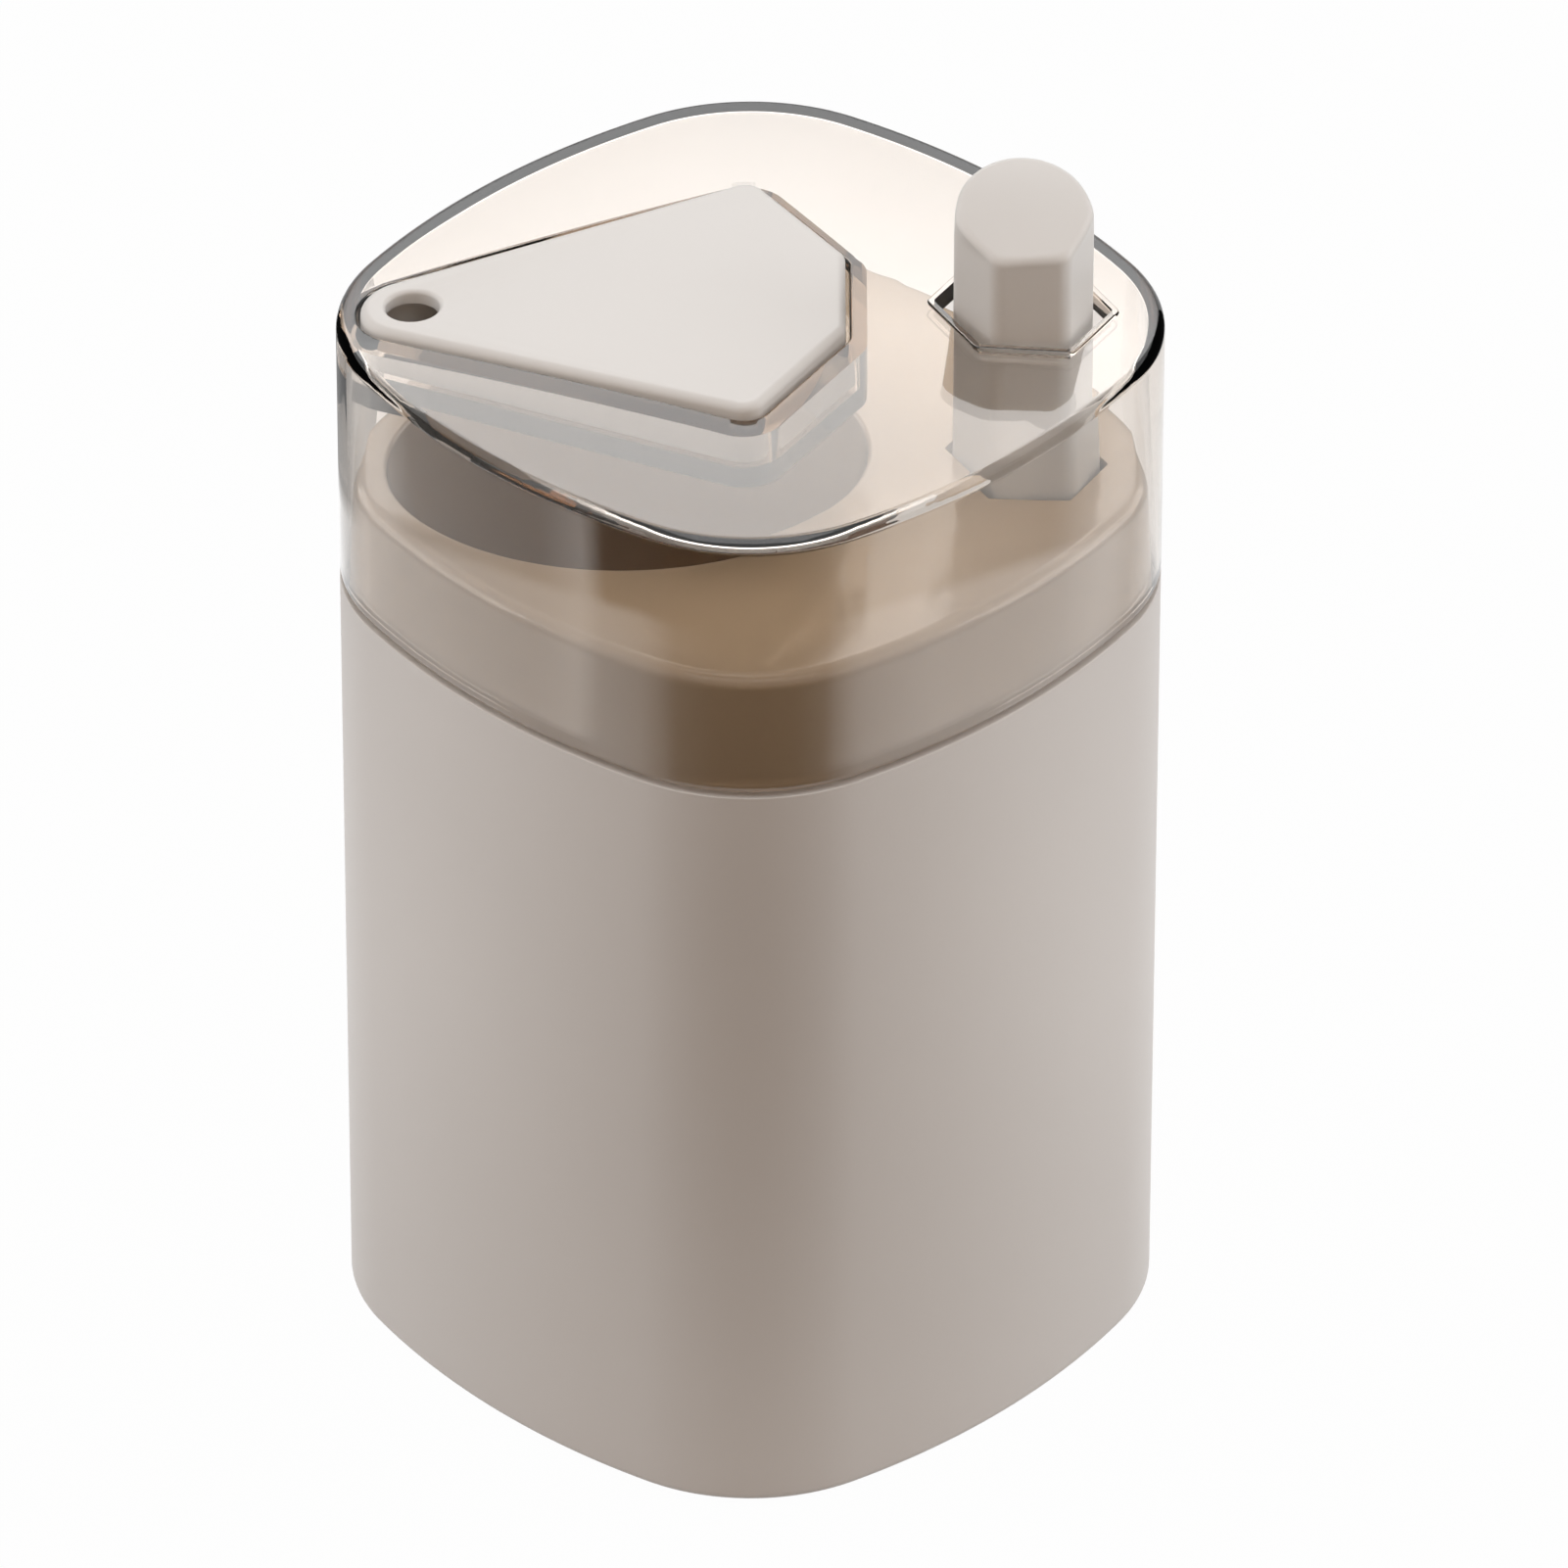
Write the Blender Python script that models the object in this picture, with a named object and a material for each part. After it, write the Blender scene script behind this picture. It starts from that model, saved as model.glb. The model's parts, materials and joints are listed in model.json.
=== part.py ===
"""Pill crusher: a storage cup, a mortar tray, a clear lid, a pill cutter and a hexagonal pestle.

Metres, +Z up. The origin is the middle of the cup's underside. The cup, tray and lid share one
outline, a square with bowed sides and round corners, whose sides face X and Y. The cutter, the
mortar and the pestle lie on the tool line, the diagonal that runs from -X-Y to +X+Y.
"""

import math

import bmesh
import bpy
from mathutils import Matrix, Vector

MM = 0.001

# Shared outline
HALF_WIDTH = 32.5 * MM
SIDE_RADIUS = 73.0 * MM
CORNER_RADIUS = 18.0 * MM
TOOL_LINE_ANGLE = math.radians(45)

# Clearances
SEAT_GAP = 0.3 * MM
SLIDE_GAP = 0.35 * MM

# Storage cup
CUP_HEIGHT = 76.0 * MM
CUP_WALL = 2.8 * MM
CUP_FLOOR = 2.6 * MM
CUP_FLOOR_RADIUS = 3.0 * MM
CUP_EDGE_RADIUS = 1.0 * MM
RIM_WALL = 1.5 * MM
RIM_ROUND = 0.3 * MM
LEDGE_DEPTH = 16.0 * MM
FOOT_WIDTH = 4.0 * MM
FOOT_RECESS = 0.8 * MM

# Mortar tray
NECK_HEIGHT = 11.7 * MM
TRAY_WALL = 1.6 * MM
TRAY_DECK = 2.0 * MM
TRAY_EDGE_RADIUS = 1.4 * MM
BOWL_MARGIN = 3.3 * MM
BOWL_BRIDGE = 5.0 * MM
BOWL_WIDTH = 33.6 * MM
BOWL_DEPTH = 28.0 * MM
BOWL_DRAFT = 2.0 * MM
BOWL_WALL = 1.6 * MM
BOWL_FLOOR_RADIUS = 6.0 * MM
BOWL_RIM_ROUND = 0.5 * MM
RIB_COUNT = 6
RIB_HEIGHT = 0.8 * MM
RIB_WIDTH = 1.6 * MM
RIB_HUB = 2.0 * MM
SOCKET_DEPTH = 50.3 * MM
SOCKET_WALL = 1.5 * MM
SOCKET_FLOOR = 1.5 * MM

# Clear lid
LID_HEIGHT = 26.2 * MM
LID_WALL = 1.5 * MM
LID_TOP = 1.6 * MM
LID_CROWN = 1.7 * MM
LID_EDGE_RADIUS = 1.1 * MM
LID_INNER_RADIUS = 0.4 * MM
POCKET_MARGIN = 0.3 * MM
POCKET_DEPTH = 4.2 * MM
POCKET_WALL = 1.5 * MM
POCKET_FLOOR = 1.5 * MM
COLLAR_MARGIN = 2.4 * MM
COLLAR_GAP = 1.25 * MM
COLLAR_WALL = 0.6 * MM
COLLAR_STEP = 0.2 * MM

# Pestle
PESTLE_FLATS = 11.1 * MM
PESTLE_CORNER_RADIUS = 1.7 * MM
PESTLE_LENGTH = 75.8 * MM
PESTLE_SLANT = math.radians(17.5)
PESTLE_CROWN = 0.4 * MM
PESTLE_EDGE_RADIUS = 0.8 * MM
PESTLE_TOP_BULGE = 0.5 * MM
PESTLE_ROUND_START = 0.4 * MM
PESTLE_ROUND_RISE = 3.8 * MM
PESTLE_WALL = 1.8 * MM
PESTLE_ROOF = 3.0 * MM
SPIGOT_CORNER_RADIUS = 0.5 * MM
HEAD_LENGTH = 9.0 * MM
HEAD_CHAMFER = 0.8 * MM
SPIGOT_LENGTH = 7.0 * MM
GROOVE_DEPTH = 1.2 * MM
GROOVE_COUNT = 3

# Pill cutter
CUTTER_BRIDGE = 7.0 * MM
CUTTER_WIDTH = 36.7 * MM
CUTTER_END_WIDTH = 14.4 * MM
CUTTER_SHOULDER = 8.9 * MM
CUTTER_EYE_RADIUS = 4.6 * MM
CUTTER_HOLE = 4.8 * MM
CUTTER_SHOULDER_RADIUS = 2.0 * MM
CUTTER_END_RADIUS = 1.6 * MM
CUTTER_TIP_THICKNESS = 4.7 * MM
CUTTER_END_THICKNESS = 6.6 * MM
CUTTER_EDGE_RADIUS = 0.8 * MM
CUTTER_WALL = 1.3 * MM
CUTTER_HOLLOW = 3.6 * MM
HOLDER_SETBACK = 5.0 * MM
HOLDER_MARGIN = 1.0 * MM
HOLDER_WIDTH = 8.0 * MM
HOLDER_THICKNESS = 1.4 * MM
BLADE_THICKNESS = 0.6 * MM
BLADE_BEVEL = 0.8 * MM
BLADE_RECESS = 0.3 * MM
BLADE_END_GAP = 4.4 * MM
SCREW_INSET = 1.9 * MM
SCREW_RADIUS = 0.75 * MM
SCREW_HEAD_RADIUS = 1.4 * MM
SCREW_HEAD = 0.8 * MM
SCREW_BITE = 0.8 * MM

# Facets
SIDE_STEPS = 6
CORNER_STEPS = 8
FILLET_STEPS = 4
CROWN_STEPS = 5
ARC_STEPS = 4
FLAT_STEPS = 4
ROUND_STEPS = 4
EDGE_PASSES = 4
BOWL_STEPS = 48
HOLE_STEPS = 24
SCREW_STEPS = 12
OVERCUT = 1.0 * MM


def corner_centre():
    """Distance along X, and along Y, from the axis to the centre of a corner's arc."""
    bow = SIDE_RADIUS - HALF_WIDTH
    reach = SIDE_RADIUS - CORNER_RADIUS
    return (math.sqrt(2 * reach * reach - bow * bow) - bow) / 2


def corner_reach(inset):
    """Distance from the axis to a corner of the outline moved in by inset."""
    return math.sqrt(2) * corner_centre() + CORNER_RADIUS - inset


# Sizes that follow from the driving ones
LEDGE_Z = CUP_HEIGHT - LEDGE_DEPTH
NECK_INSET = max(RIM_WALL, LID_WALL) + SLIDE_GAP
TRAY_BOTTOM_Z = LEDGE_Z + SEAT_GAP
TRAY_TOP_Z = CUP_HEIGHT + NECK_HEIGHT
SOCKET_FLATS = PESTLE_FLATS + 2 * SLIDE_GAP
SOCKET_FLOOR_Z = TRAY_TOP_Z - SOCKET_DEPTH
LID_BOTTOM_Z = CUP_HEIGHT + SEAT_GAP
LID_EDGE_Z = LID_BOTTOM_Z + LID_HEIGHT
COLLAR_HOLE = PESTLE_FLATS + 2 * COLLAR_GAP
COLLAR_FLATS = COLLAR_HOLE + 2 * COLLAR_WALL
HEX_CORNERS_PER_FLATS = 2 / math.sqrt(3)
COLLAR_REACH = COLLAR_FLATS * HEX_CORNERS_PER_FLATS / 2
SOCKET_REACH = (SOCKET_FLATS + 2 * SOCKET_WALL) * HEX_CORNERS_PER_FLATS / 2
PESTLE_U = corner_reach(LID_WALL) - COLLAR_MARGIN - COLLAR_REACH
PESTLE_BOTTOM_Z = SOCKET_FLOOR_Z + SEAT_GAP
PESTLE_TOP_Z = PESTLE_BOTTOM_Z + PESTLE_LENGTH
PESTLE_FRONT_Z = PESTLE_TOP_Z - PESTLE_FLATS / 2 * math.tan(PESTLE_SLANT)
PESTLE_ROUND_Z = PESTLE_FRONT_Z - PESTLE_EDGE_RADIUS - PESTLE_ROUND_START
PESTLE_TOP_RADIUS = PESTLE_FLATS / 2 + PESTLE_TOP_BULGE
BOWL_START_U = BOWL_MARGIN - corner_reach(NECK_INSET)
BOWL_END_U = PESTLE_U - SOCKET_REACH - BOWL_BRIDGE
EYE_U = POCKET_MARGIN + SLIDE_GAP + CUTTER_EYE_RADIUS - corner_reach(LID_WALL)
CUTTER_END_X = PESTLE_U - COLLAR_REACH - CUTTER_BRIDGE - EYE_U
POCKET_FLOOR_Z = LID_EDGE_Z - POCKET_DEPTH
CUTTER_BOTTOM_Z = POCKET_FLOOR_Z + SEAT_GAP
CUTTER_ROOF_Z = CUTTER_BOTTOM_Z + CUTTER_HOLLOW
HOLDER_TOP_Z = CUTTER_ROOF_Z - SEAT_GAP
HOLDER_START_X = CUTTER_EYE_RADIUS + HOLDER_SETBACK
HOLDER_END_X = CUTTER_END_X - CUTTER_WALL - HOLDER_MARGIN


def clear_scene():
    for obj in list(bpy.data.objects):
        bpy.data.objects.remove(obj)


def plastic(name, colour, roughness, alpha=1.0, metallic=0.0):
    """A Principled material; alpha under 1 stands for clear plastic."""
    material = bpy.data.materials.new(name)
    material.use_nodes = True
    shader = material.node_tree.nodes["Principled BSDF"]
    shader.inputs["Base Color"].default_value = (*colour, 1)
    shader.inputs["Roughness"].default_value = roughness
    shader.inputs["Metallic"].default_value = metallic
    shader.inputs["Alpha"].default_value = alpha
    material.diffuse_color = (*colour, alpha)
    return material


def arc(centre, radius, start, end, steps):
    """Points of an arc from angle start to angle end, both included."""
    angles = [start + (end - start) * i / steps for i in range(steps + 1)]
    return [(centre[0] + radius * math.cos(a), centre[1] + radius * math.sin(a)) for a in angles]


def bowed_square(inset):
    """The shared outline moved in by inset, counter-clockwise from the middle of the +X side."""
    bow = SIDE_RADIUS - HALF_WIDTH
    middle = corner_centre()
    swing = math.atan2(middle, middle + bow)
    side = arc((-bow, 0), SIDE_RADIUS - inset, -swing, swing, SIDE_STEPS)
    corner = arc((middle, middle), CORNER_RADIUS - inset, swing, math.pi / 2 - swing, CORNER_STEPS)
    quarter = [Vector(point) for point in side[:-1] + corner[:-1]]
    turns = [Matrix.Rotation(i * math.pi / 2, 2) for i in range(4)]
    return [tuple(turn @ point) for turn in turns for point in quarter]


def wrapped_circles(circles, grow):
    """The band that wraps circles (x, y, radius), listed counter-clockwise, grown outward by grow."""
    normals = []
    for (ax, ay, ar), (bx, by, br) in zip(circles, circles[1:] + circles[:1]):
        direction = math.atan2(by - ay, bx - ax)
        normals.append(direction - math.acos((ar - br) / math.hypot(bx - ax, by - ay)))
    points = []
    for i, (x, y, radius) in enumerate(circles):
        start = normals[i - 1]
        sweep = (normals[i] - start) % (2 * math.pi)
        points += arc((x, y), radius + grow, start, start + sweep, ARC_STEPS)
    return points


def hexagon(flats):
    """Corners of a hexagon across flats, the first on local +X."""
    return arc((0, 0), flats * HEX_CORNERS_PER_FLATS / 2, 0, 2 * math.pi, 6)[:-1]


def round_hexagon(flats, radius):
    """A hexagon across flats with round corners, the first on local +X, and points along its flats."""
    corners = hexagon(flats - 2 * radius)
    rounded = wrapped_circles([(x, y, radius) for x, y in corners], 0)
    points = []
    for i, (start, end) in enumerate(zip(rounded, rounded[1:] + rounded[:1]), 1):
        steps = 1 if i % (ARC_STEPS + 1) else FLAT_STEPS
        points += [tuple(Vector(start).lerp(Vector(end), k / steps)) for k in range(steps)]
    return points


def circle(radius, steps):
    return arc((0, 0), radius, 0, 2 * math.pi, steps)[:-1]


def ellipse(half_length, half_width):
    return [(half_length * x, half_width * y) for x, y in circle(1, BOWL_STEPS)]


def scaled(points, factor):
    return [(x * factor, y * factor) for x, y in points]


def at_height(points, z):
    return [(x, y, z) for x, y in points]


def solid(name, rings, material=None):
    """One closed object through a stack of rings with equal counts, capped at both ends."""
    mesh = bpy.data.meshes.new(name)
    bm = bmesh.new()
    loops = [[bm.verts.new(point) for point in ring] for ring in rings]
    for lower, upper in zip(loops, loops[1:]):
        for i in range(len(lower)):
            j = (i + 1) % len(lower)
            bm.faces.new((lower[i], lower[j], upper[j], upper[i]))
    bm.faces.new(loops[0][::-1])
    bm.faces.new(loops[-1])
    bmesh.ops.recalc_face_normals(bm, faces=bm.faces)
    bm.to_mesh(mesh)
    bm.free()
    mesh.shade_smooth()
    mesh.set_sharp_from_angle(angle=math.radians(35))
    obj = bpy.data.objects.new(name, mesh)
    bpy.context.scene.collection.objects.link(obj)
    if material:
        mesh.materials.append(material)
    return obj


def prism(name, points, low, high, material=None):
    return solid(name, [at_height(points, low), at_height(points, high)], material)


def helper(obj):
    """Marks an object that only shapes another one."""
    obj.hide_render = True
    obj.display_type = "WIRE"
    return obj


def combine(obj, other, operation):
    modifier = obj.modifiers.new(other.name, "BOOLEAN")
    modifier.operation = operation
    modifier.object = helper(other)
    modifier.solver = "EXACT"


def cut(obj, *tools):
    for tool in tools:
        combine(obj, tool, "DIFFERENCE")


def join(obj, *additions):
    for addition in additions:
        combine(obj, addition, "UNION")


def seat_on(parent, *objects):
    for obj in objects:
        obj.parent = parent


def tool_axis(name, along):
    """An empty on the tool line, with its X axis along the line."""
    empty = bpy.data.objects.new(name, None)
    turn = Matrix.Rotation(TOOL_LINE_ANGLE, 3, "Z")
    empty.location = turn @ Vector((along, 0, 0))
    empty.rotation_euler = (0, 0, TOOL_LINE_ANGLE)
    bpy.context.scene.collection.objects.link(empty)
    return empty


def swept(section):
    """Rings of the shared outline that follow a wall section of (inset, z) points."""
    return [at_height(bowed_square(inset), z) for inset, z in section]


def crown_rings(inset, edge_z):
    """Rings of a crowned plate from its edge to a small flat in the middle."""
    edge = bowed_square(inset)
    shares = [1 - i / (CROWN_STEPS + 1) for i in range(CROWN_STEPS + 1)]
    return [at_height(scaled(edge, s), edge_z + LID_CROWN * (1 - s * s)) for s in shares]


def storage_cup(material):
    """The outer cup, with a ledge inside for the tray and a foot ring underneath."""
    foot = [(FOOT_WIDTH, FOOT_RECESS), (FOOT_WIDTH, 0)]
    edge_centre = (CUP_EDGE_RADIUS, CUP_EDGE_RADIUS)
    lower_edge = arc(edge_centre, CUP_EDGE_RADIUS, 1.5 * math.pi, math.pi, FILLET_STEPS)
    rim = [
        (0, CUP_HEIGHT - RIM_ROUND),
        (RIM_ROUND, CUP_HEIGHT),
        (RIM_WALL - RIM_ROUND, CUP_HEIGHT),
        (RIM_WALL, CUP_HEIGHT - RIM_ROUND),
    ]
    ledge = [(RIM_WALL, LEDGE_Z), (CUP_WALL, LEDGE_Z)]
    floor_centre = (CUP_WALL + CUP_FLOOR_RADIUS, CUP_FLOOR + CUP_FLOOR_RADIUS)
    floor_edge = arc(floor_centre, CUP_FLOOR_RADIUS, math.pi, 1.5 * math.pi, FILLET_STEPS)
    return solid("storage_cup", swept(foot + lower_edge + rim + ledge + floor_edge), material)


def bowl_rings(grow, mouth):
    """Oval rings of the mortar, grown outward by grow: its rounded floor, then the mouth's (inset, z)."""
    length = (BOWL_END_U - BOWL_START_U) / 2 + grow
    width = BOWL_WIDTH / 2 + grow
    radius = BOWL_FLOOR_RADIUS + grow
    floor_centre = (BOWL_DRAFT + radius, TRAY_TOP_Z - BOWL_DEPTH + BOWL_FLOOR_RADIUS)
    profile = arc(floor_centre, radius, 1.5 * math.pi, math.pi, FILLET_STEPS) + mouth
    return [at_height(ellipse(length - inset, width - inset), z) for inset, z in profile]


def bowl_ribs():
    """Radial grinding ribs that rise from the mortar's floor."""
    floor_z = TRAY_TOP_Z - BOWL_DEPTH
    reach = BOWL_WIDTH / 2 - BOWL_DRAFT - BOWL_FLOOR_RADIUS
    half = RIB_WIDTH / 2
    foot_z = floor_z - BOWL_WALL / 2
    ribs = []
    for i in range(RIB_COUNT):
        foot = [(RIB_HUB, -half), (reach, -half), (reach, half), (RIB_HUB, half)]
        crest = [(RIB_HUB, -half / 2), (reach, -half / 2), (reach, half / 2), (RIB_HUB, half / 2)]
        rib = solid(f"bowl_rib_{i}", [at_height(foot, foot_z), at_height(crest, floor_z + RIB_HEIGHT)])
        rib.rotation_euler = (0, 0, 2 * math.pi * i / RIB_COUNT)
        ribs.append(rib)
    return ribs


def mortar_tray(material):
    """The tray that drops into the cup: a skirt and deck with the mortar and the pestle's socket."""
    edge_centre = (TRAY_EDGE_RADIUS, TRAY_TOP_Z - TRAY_EDGE_RADIUS)
    top_edge = arc(edge_centre, TRAY_EDGE_RADIUS, math.pi, math.pi / 2, FILLET_STEPS)
    outside = [(0, TRAY_BOTTOM_Z)] + top_edge
    tray = solid("mortar_tray", swept([(NECK_INSET + inset, z) for inset, z in outside]), material)

    inside = bowed_square(NECK_INSET + TRAY_WALL)
    cavity = prism("tray_cavity", inside, TRAY_BOTTOM_Z - OVERCUT, TRAY_TOP_Z - TRAY_DECK)
    deck_middle = TRAY_TOP_Z - TRAY_DECK / 2

    bowl_axis = tool_axis("bowl_axis", (BOWL_START_U + BOWL_END_U) / 2)
    mouth = [
        (0, TRAY_TOP_Z - BOWL_RIM_ROUND),
        (-BOWL_RIM_ROUND, TRAY_TOP_Z),
        (-BOWL_RIM_ROUND, TRAY_TOP_Z + OVERCUT),
    ]
    bowl_body = solid("bowl_body", bowl_rings(BOWL_WALL, [(0, deck_middle)]))
    bowl_space = solid("bowl_space", bowl_rings(0, mouth))
    ribs = bowl_ribs()
    seat_on(bowl_axis, bowl_body, bowl_space, *ribs)

    socket_axis = tool_axis("socket_axis", PESTLE_U)
    socket_outside = hexagon(SOCKET_FLATS + 2 * SOCKET_WALL)
    socket_body = prism("socket_body", socket_outside, SOCKET_FLOOR_Z - SOCKET_FLOOR, deck_middle)
    socket_space = prism("socket_space", hexagon(SOCKET_FLATS), SOCKET_FLOOR_Z, TRAY_TOP_Z + OVERCUT)
    seat_on(socket_axis, socket_body, socket_space)

    cut(tray, cavity)
    join(tray, bowl_body, socket_body)
    cut(tray, bowl_space, socket_space)
    join(tray, *ribs)
    return tray


def cutter_circles():
    """The circles that the cutter's kite outline wraps: its eye, end corners and shoulders."""
    shoulder_x = CUTTER_END_X - CUTTER_SHOULDER
    shoulder_y = CUTTER_WIDTH / 2 - CUTTER_SHOULDER_RADIUS
    end_x = CUTTER_END_X - CUTTER_END_RADIUS
    end_y = CUTTER_END_WIDTH / 2 - CUTTER_END_RADIUS
    return [
        (0, 0, CUTTER_EYE_RADIUS),
        (shoulder_x, -shoulder_y, CUTTER_SHOULDER_RADIUS),
        (end_x, -end_y, CUTTER_END_RADIUS),
        (end_x, end_y, CUTTER_END_RADIUS),
        (shoulder_x, shoulder_y, CUTTER_SHOULDER_RADIUS),
    ]


def collar_top(x):
    """Height of the collar at x from the pestle's axis, a step above the crowned lid on the tool line."""
    share = (PESTLE_U + x) / corner_reach(LID_EDGE_RADIUS)
    return LID_EDGE_Z + LID_CROWN * (1 - share * share) + COLLAR_STEP


def clear_lid(material):
    """The crowned lid, with a pocket for the cutter and a low collar round the pestle's hexagonal hole."""
    fillet_centre = (LID_EDGE_RADIUS, LID_EDGE_Z - LID_EDGE_RADIUS)
    fillet = arc(fillet_centre, LID_EDGE_RADIUS, math.pi, math.pi / 2, FILLET_STEPS)
    outside = swept([(0, LID_BOTTOM_Z)] + fillet[:-1]) + crown_rings(LID_EDGE_RADIUS, LID_EDGE_Z)
    lid = solid("clear_lid", outside, material)

    under_z = LID_EDGE_Z - LID_TOP
    inner_inset = LID_WALL + LID_INNER_RADIUS
    inner_centre = (inner_inset, under_z - LID_INNER_RADIUS)
    inner_fillet = arc(inner_centre, LID_INNER_RADIUS, math.pi, math.pi / 2, FILLET_STEPS)
    inner_wall = swept([(LID_WALL, LID_BOTTOM_Z - OVERCUT)] + inner_fillet[:-1])
    cavity = solid("lid_cavity", inner_wall + crown_rings(inner_inset, under_z))

    top_z = LID_EDGE_Z + LID_CROWN + OVERCUT
    collar_axis = tool_axis("collar_axis", PESTLE_U)
    collar_outside = hexagon(COLLAR_FLATS)
    collar_upper = [(x, y, collar_top(x)) for x, y in collar_outside]
    collar = solid("collar", [at_height(collar_outside, under_z), collar_upper])
    collar_space = prism("collar_space", hexagon(COLLAR_HOLE), under_z - OVERCUT, top_z)
    seat_on(collar_axis, collar, collar_space)

    pocket_axis = tool_axis("pocket_axis", EYE_U)
    pocket_outside = wrapped_circles(cutter_circles(), SLIDE_GAP + POCKET_WALL)
    pocket_inside = wrapped_circles(cutter_circles(), SLIDE_GAP)
    pocket_body = prism("pocket_body", pocket_outside, POCKET_FLOOR_Z - POCKET_FLOOR, top_z)
    pocket_space = prism("pocket_space", pocket_inside, POCKET_FLOOR_Z, top_z)
    seat_on(pocket_axis, pocket_body, pocket_space)

    cut(cavity, pocket_body)
    join(lid, collar)
    cut(lid, cavity, collar_space, pocket_space)
    return lid


def cutter_top(x):
    """Height of the cutter's sloping top at x from its eye."""
    share = (x + CUTTER_EYE_RADIUS) / (CUTTER_END_X + CUTTER_EYE_RADIUS)
    thickness = CUTTER_TIP_THICKNESS + share * (CUTTER_END_THICKNESS - CUTTER_TIP_THICKNESS)
    return CUTTER_BOTTOM_Z + thickness


def screw_places():
    return (HOLDER_START_X + SCREW_INSET, HOLDER_END_X - SCREW_INSET)


def screw_hole(name, x, low, high):
    hole = prism(name, circle(SCREW_RADIUS + SEAT_GAP, SCREW_STEPS), low, high)
    hole.location.x = x
    return hole


def cutter_cover(axis, material):
    """The kite-shaped grip of the cutter, hollow underneath, with an eye at its tip."""
    rings = [at_height(wrapped_circles(cutter_circles(), 0), CUTTER_BOTTOM_Z)]
    edge_centre = (CUTTER_EDGE_RADIUS, CUTTER_EDGE_RADIUS)
    for inset, drop in arc(edge_centre, CUTTER_EDGE_RADIUS, math.pi, 1.5 * math.pi, FILLET_STEPS):
        outline = wrapped_circles(cutter_circles(), -inset)
        rings.append([(x, y, cutter_top(x) - drop) for x, y in outline])
    cover = solid("cutter_cover", rings, material)

    low_z = CUTTER_BOTTOM_Z - OVERCUT
    high_z = cutter_top(CUTTER_END_X) + OVERCUT
    eye = prism("cutter_eye", circle(CUTTER_HOLE / 2, HOLE_STEPS), low_z, high_z)
    hollow = prism("cutter_hollow", wrapped_circles(cutter_circles(), -CUTTER_WALL), low_z, CUTTER_ROOF_Z)
    bores = []
    for x in screw_places():
        bores.append(screw_hole("screw_bore", x, low_z, CUTTER_ROOF_Z + SCREW_BITE + SEAT_GAP))
    seat_on(axis, cover, eye, hollow, *bores)
    cut(cover, eye, hollow, *bores)
    return cover


def blade_span():
    return (HOLDER_START_X + BLADE_END_GAP, HOLDER_END_X - BLADE_END_GAP)


def blade_holder(axis, material):
    """The bar under the cover that holds the blade in a slot, with a screw hole at each end."""
    half = HOLDER_WIDTH / 2
    ends = [(HOLDER_START_X + half, 0, half), (HOLDER_END_X - half, 0, half)]
    bar_bottom_z = HOLDER_TOP_Z - HOLDER_THICKNESS
    holder = prism("blade_holder", wrapped_circles(ends, 0), bar_bottom_z, HOLDER_TOP_Z, material)
    start, end = blade_span()
    slot_half = BLADE_THICKNESS / 2 + SEAT_GAP
    outline = [
        (start - SEAT_GAP, -slot_half),
        (end + SEAT_GAP, -slot_half),
        (end + SEAT_GAP, slot_half),
        (start - SEAT_GAP, slot_half),
    ]
    slot = prism("blade_slot", outline, CUTTER_BOTTOM_Z, CUTTER_ROOF_Z)
    holes = [screw_hole("holder_hole", x, CUTTER_BOTTOM_Z, CUTTER_ROOF_Z) for x in screw_places()]
    seat_on(axis, holder, slot, *holes)
    cut(holder, slot, *holes)
    return holder


def cutter_blade(axis, material):
    """The upright blade, ground to an edge on its lower side."""
    start, end = blade_span()
    half = BLADE_THICKNESS / 2
    edge_z = CUTTER_BOTTOM_Z + BLADE_RECESS
    edge_half = half / 8
    section = [
        (-half, HOLDER_TOP_Z),
        (-half, edge_z + BLADE_BEVEL),
        (-edge_half, edge_z),
        (edge_half, edge_z),
        (half, edge_z + BLADE_BEVEL),
        (half, HOLDER_TOP_Z),
    ]
    rings = [[(x, y, z) for y, z in section] for x in (start, end)]
    blade = solid("cutter_blade", rings, material)
    seat_on(axis, blade)
    return blade


def holder_screws(axis, material):
    """Two screws that hold the bar against the cover."""
    head_top_z = HOLDER_TOP_Z - HOLDER_THICKNESS - SEAT_GAP
    profile = [
        (SCREW_HEAD_RADIUS, head_top_z - SCREW_HEAD),
        (SCREW_HEAD_RADIUS, head_top_z),
        (SCREW_RADIUS, head_top_z),
        (SCREW_RADIUS, CUTTER_ROOF_Z + SCREW_BITE),
    ]
    for number, x in enumerate(screw_places(), 1):
        rings = [at_height(circle(radius, SCREW_STEPS), z) for radius, z in profile]
        screw = solid(f"holder_screw_{number}", rings, material)
        screw.location.x = x
        seat_on(axis, screw)


def pestle_outline(inset):
    """The pestle's hexagon with round corners, moved in by inset."""
    return round_hexagon(PESTLE_FLATS - 2 * inset, PESTLE_CORNER_RADIUS - inset)


def pestle_top(y, share):
    """Height of the pestle's slanted, crowned top at y, and at that share of the way to its edge."""
    return PESTLE_TOP_Z + y * math.tan(PESTLE_SLANT) + PESTLE_CROWN * (1 - share * share)


def pestle_side(point, z):
    """The point of the pestle's outline at height z: six-sided below, turning round towards the top."""
    share = min(max((z - PESTLE_ROUND_Z) / PESTLE_ROUND_RISE, 0), 1)
    roundness = share * share * (3 - 2 * share)
    return point.lerp(point.normalized() * PESTLE_TOP_RADIUS, roundness)


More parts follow.
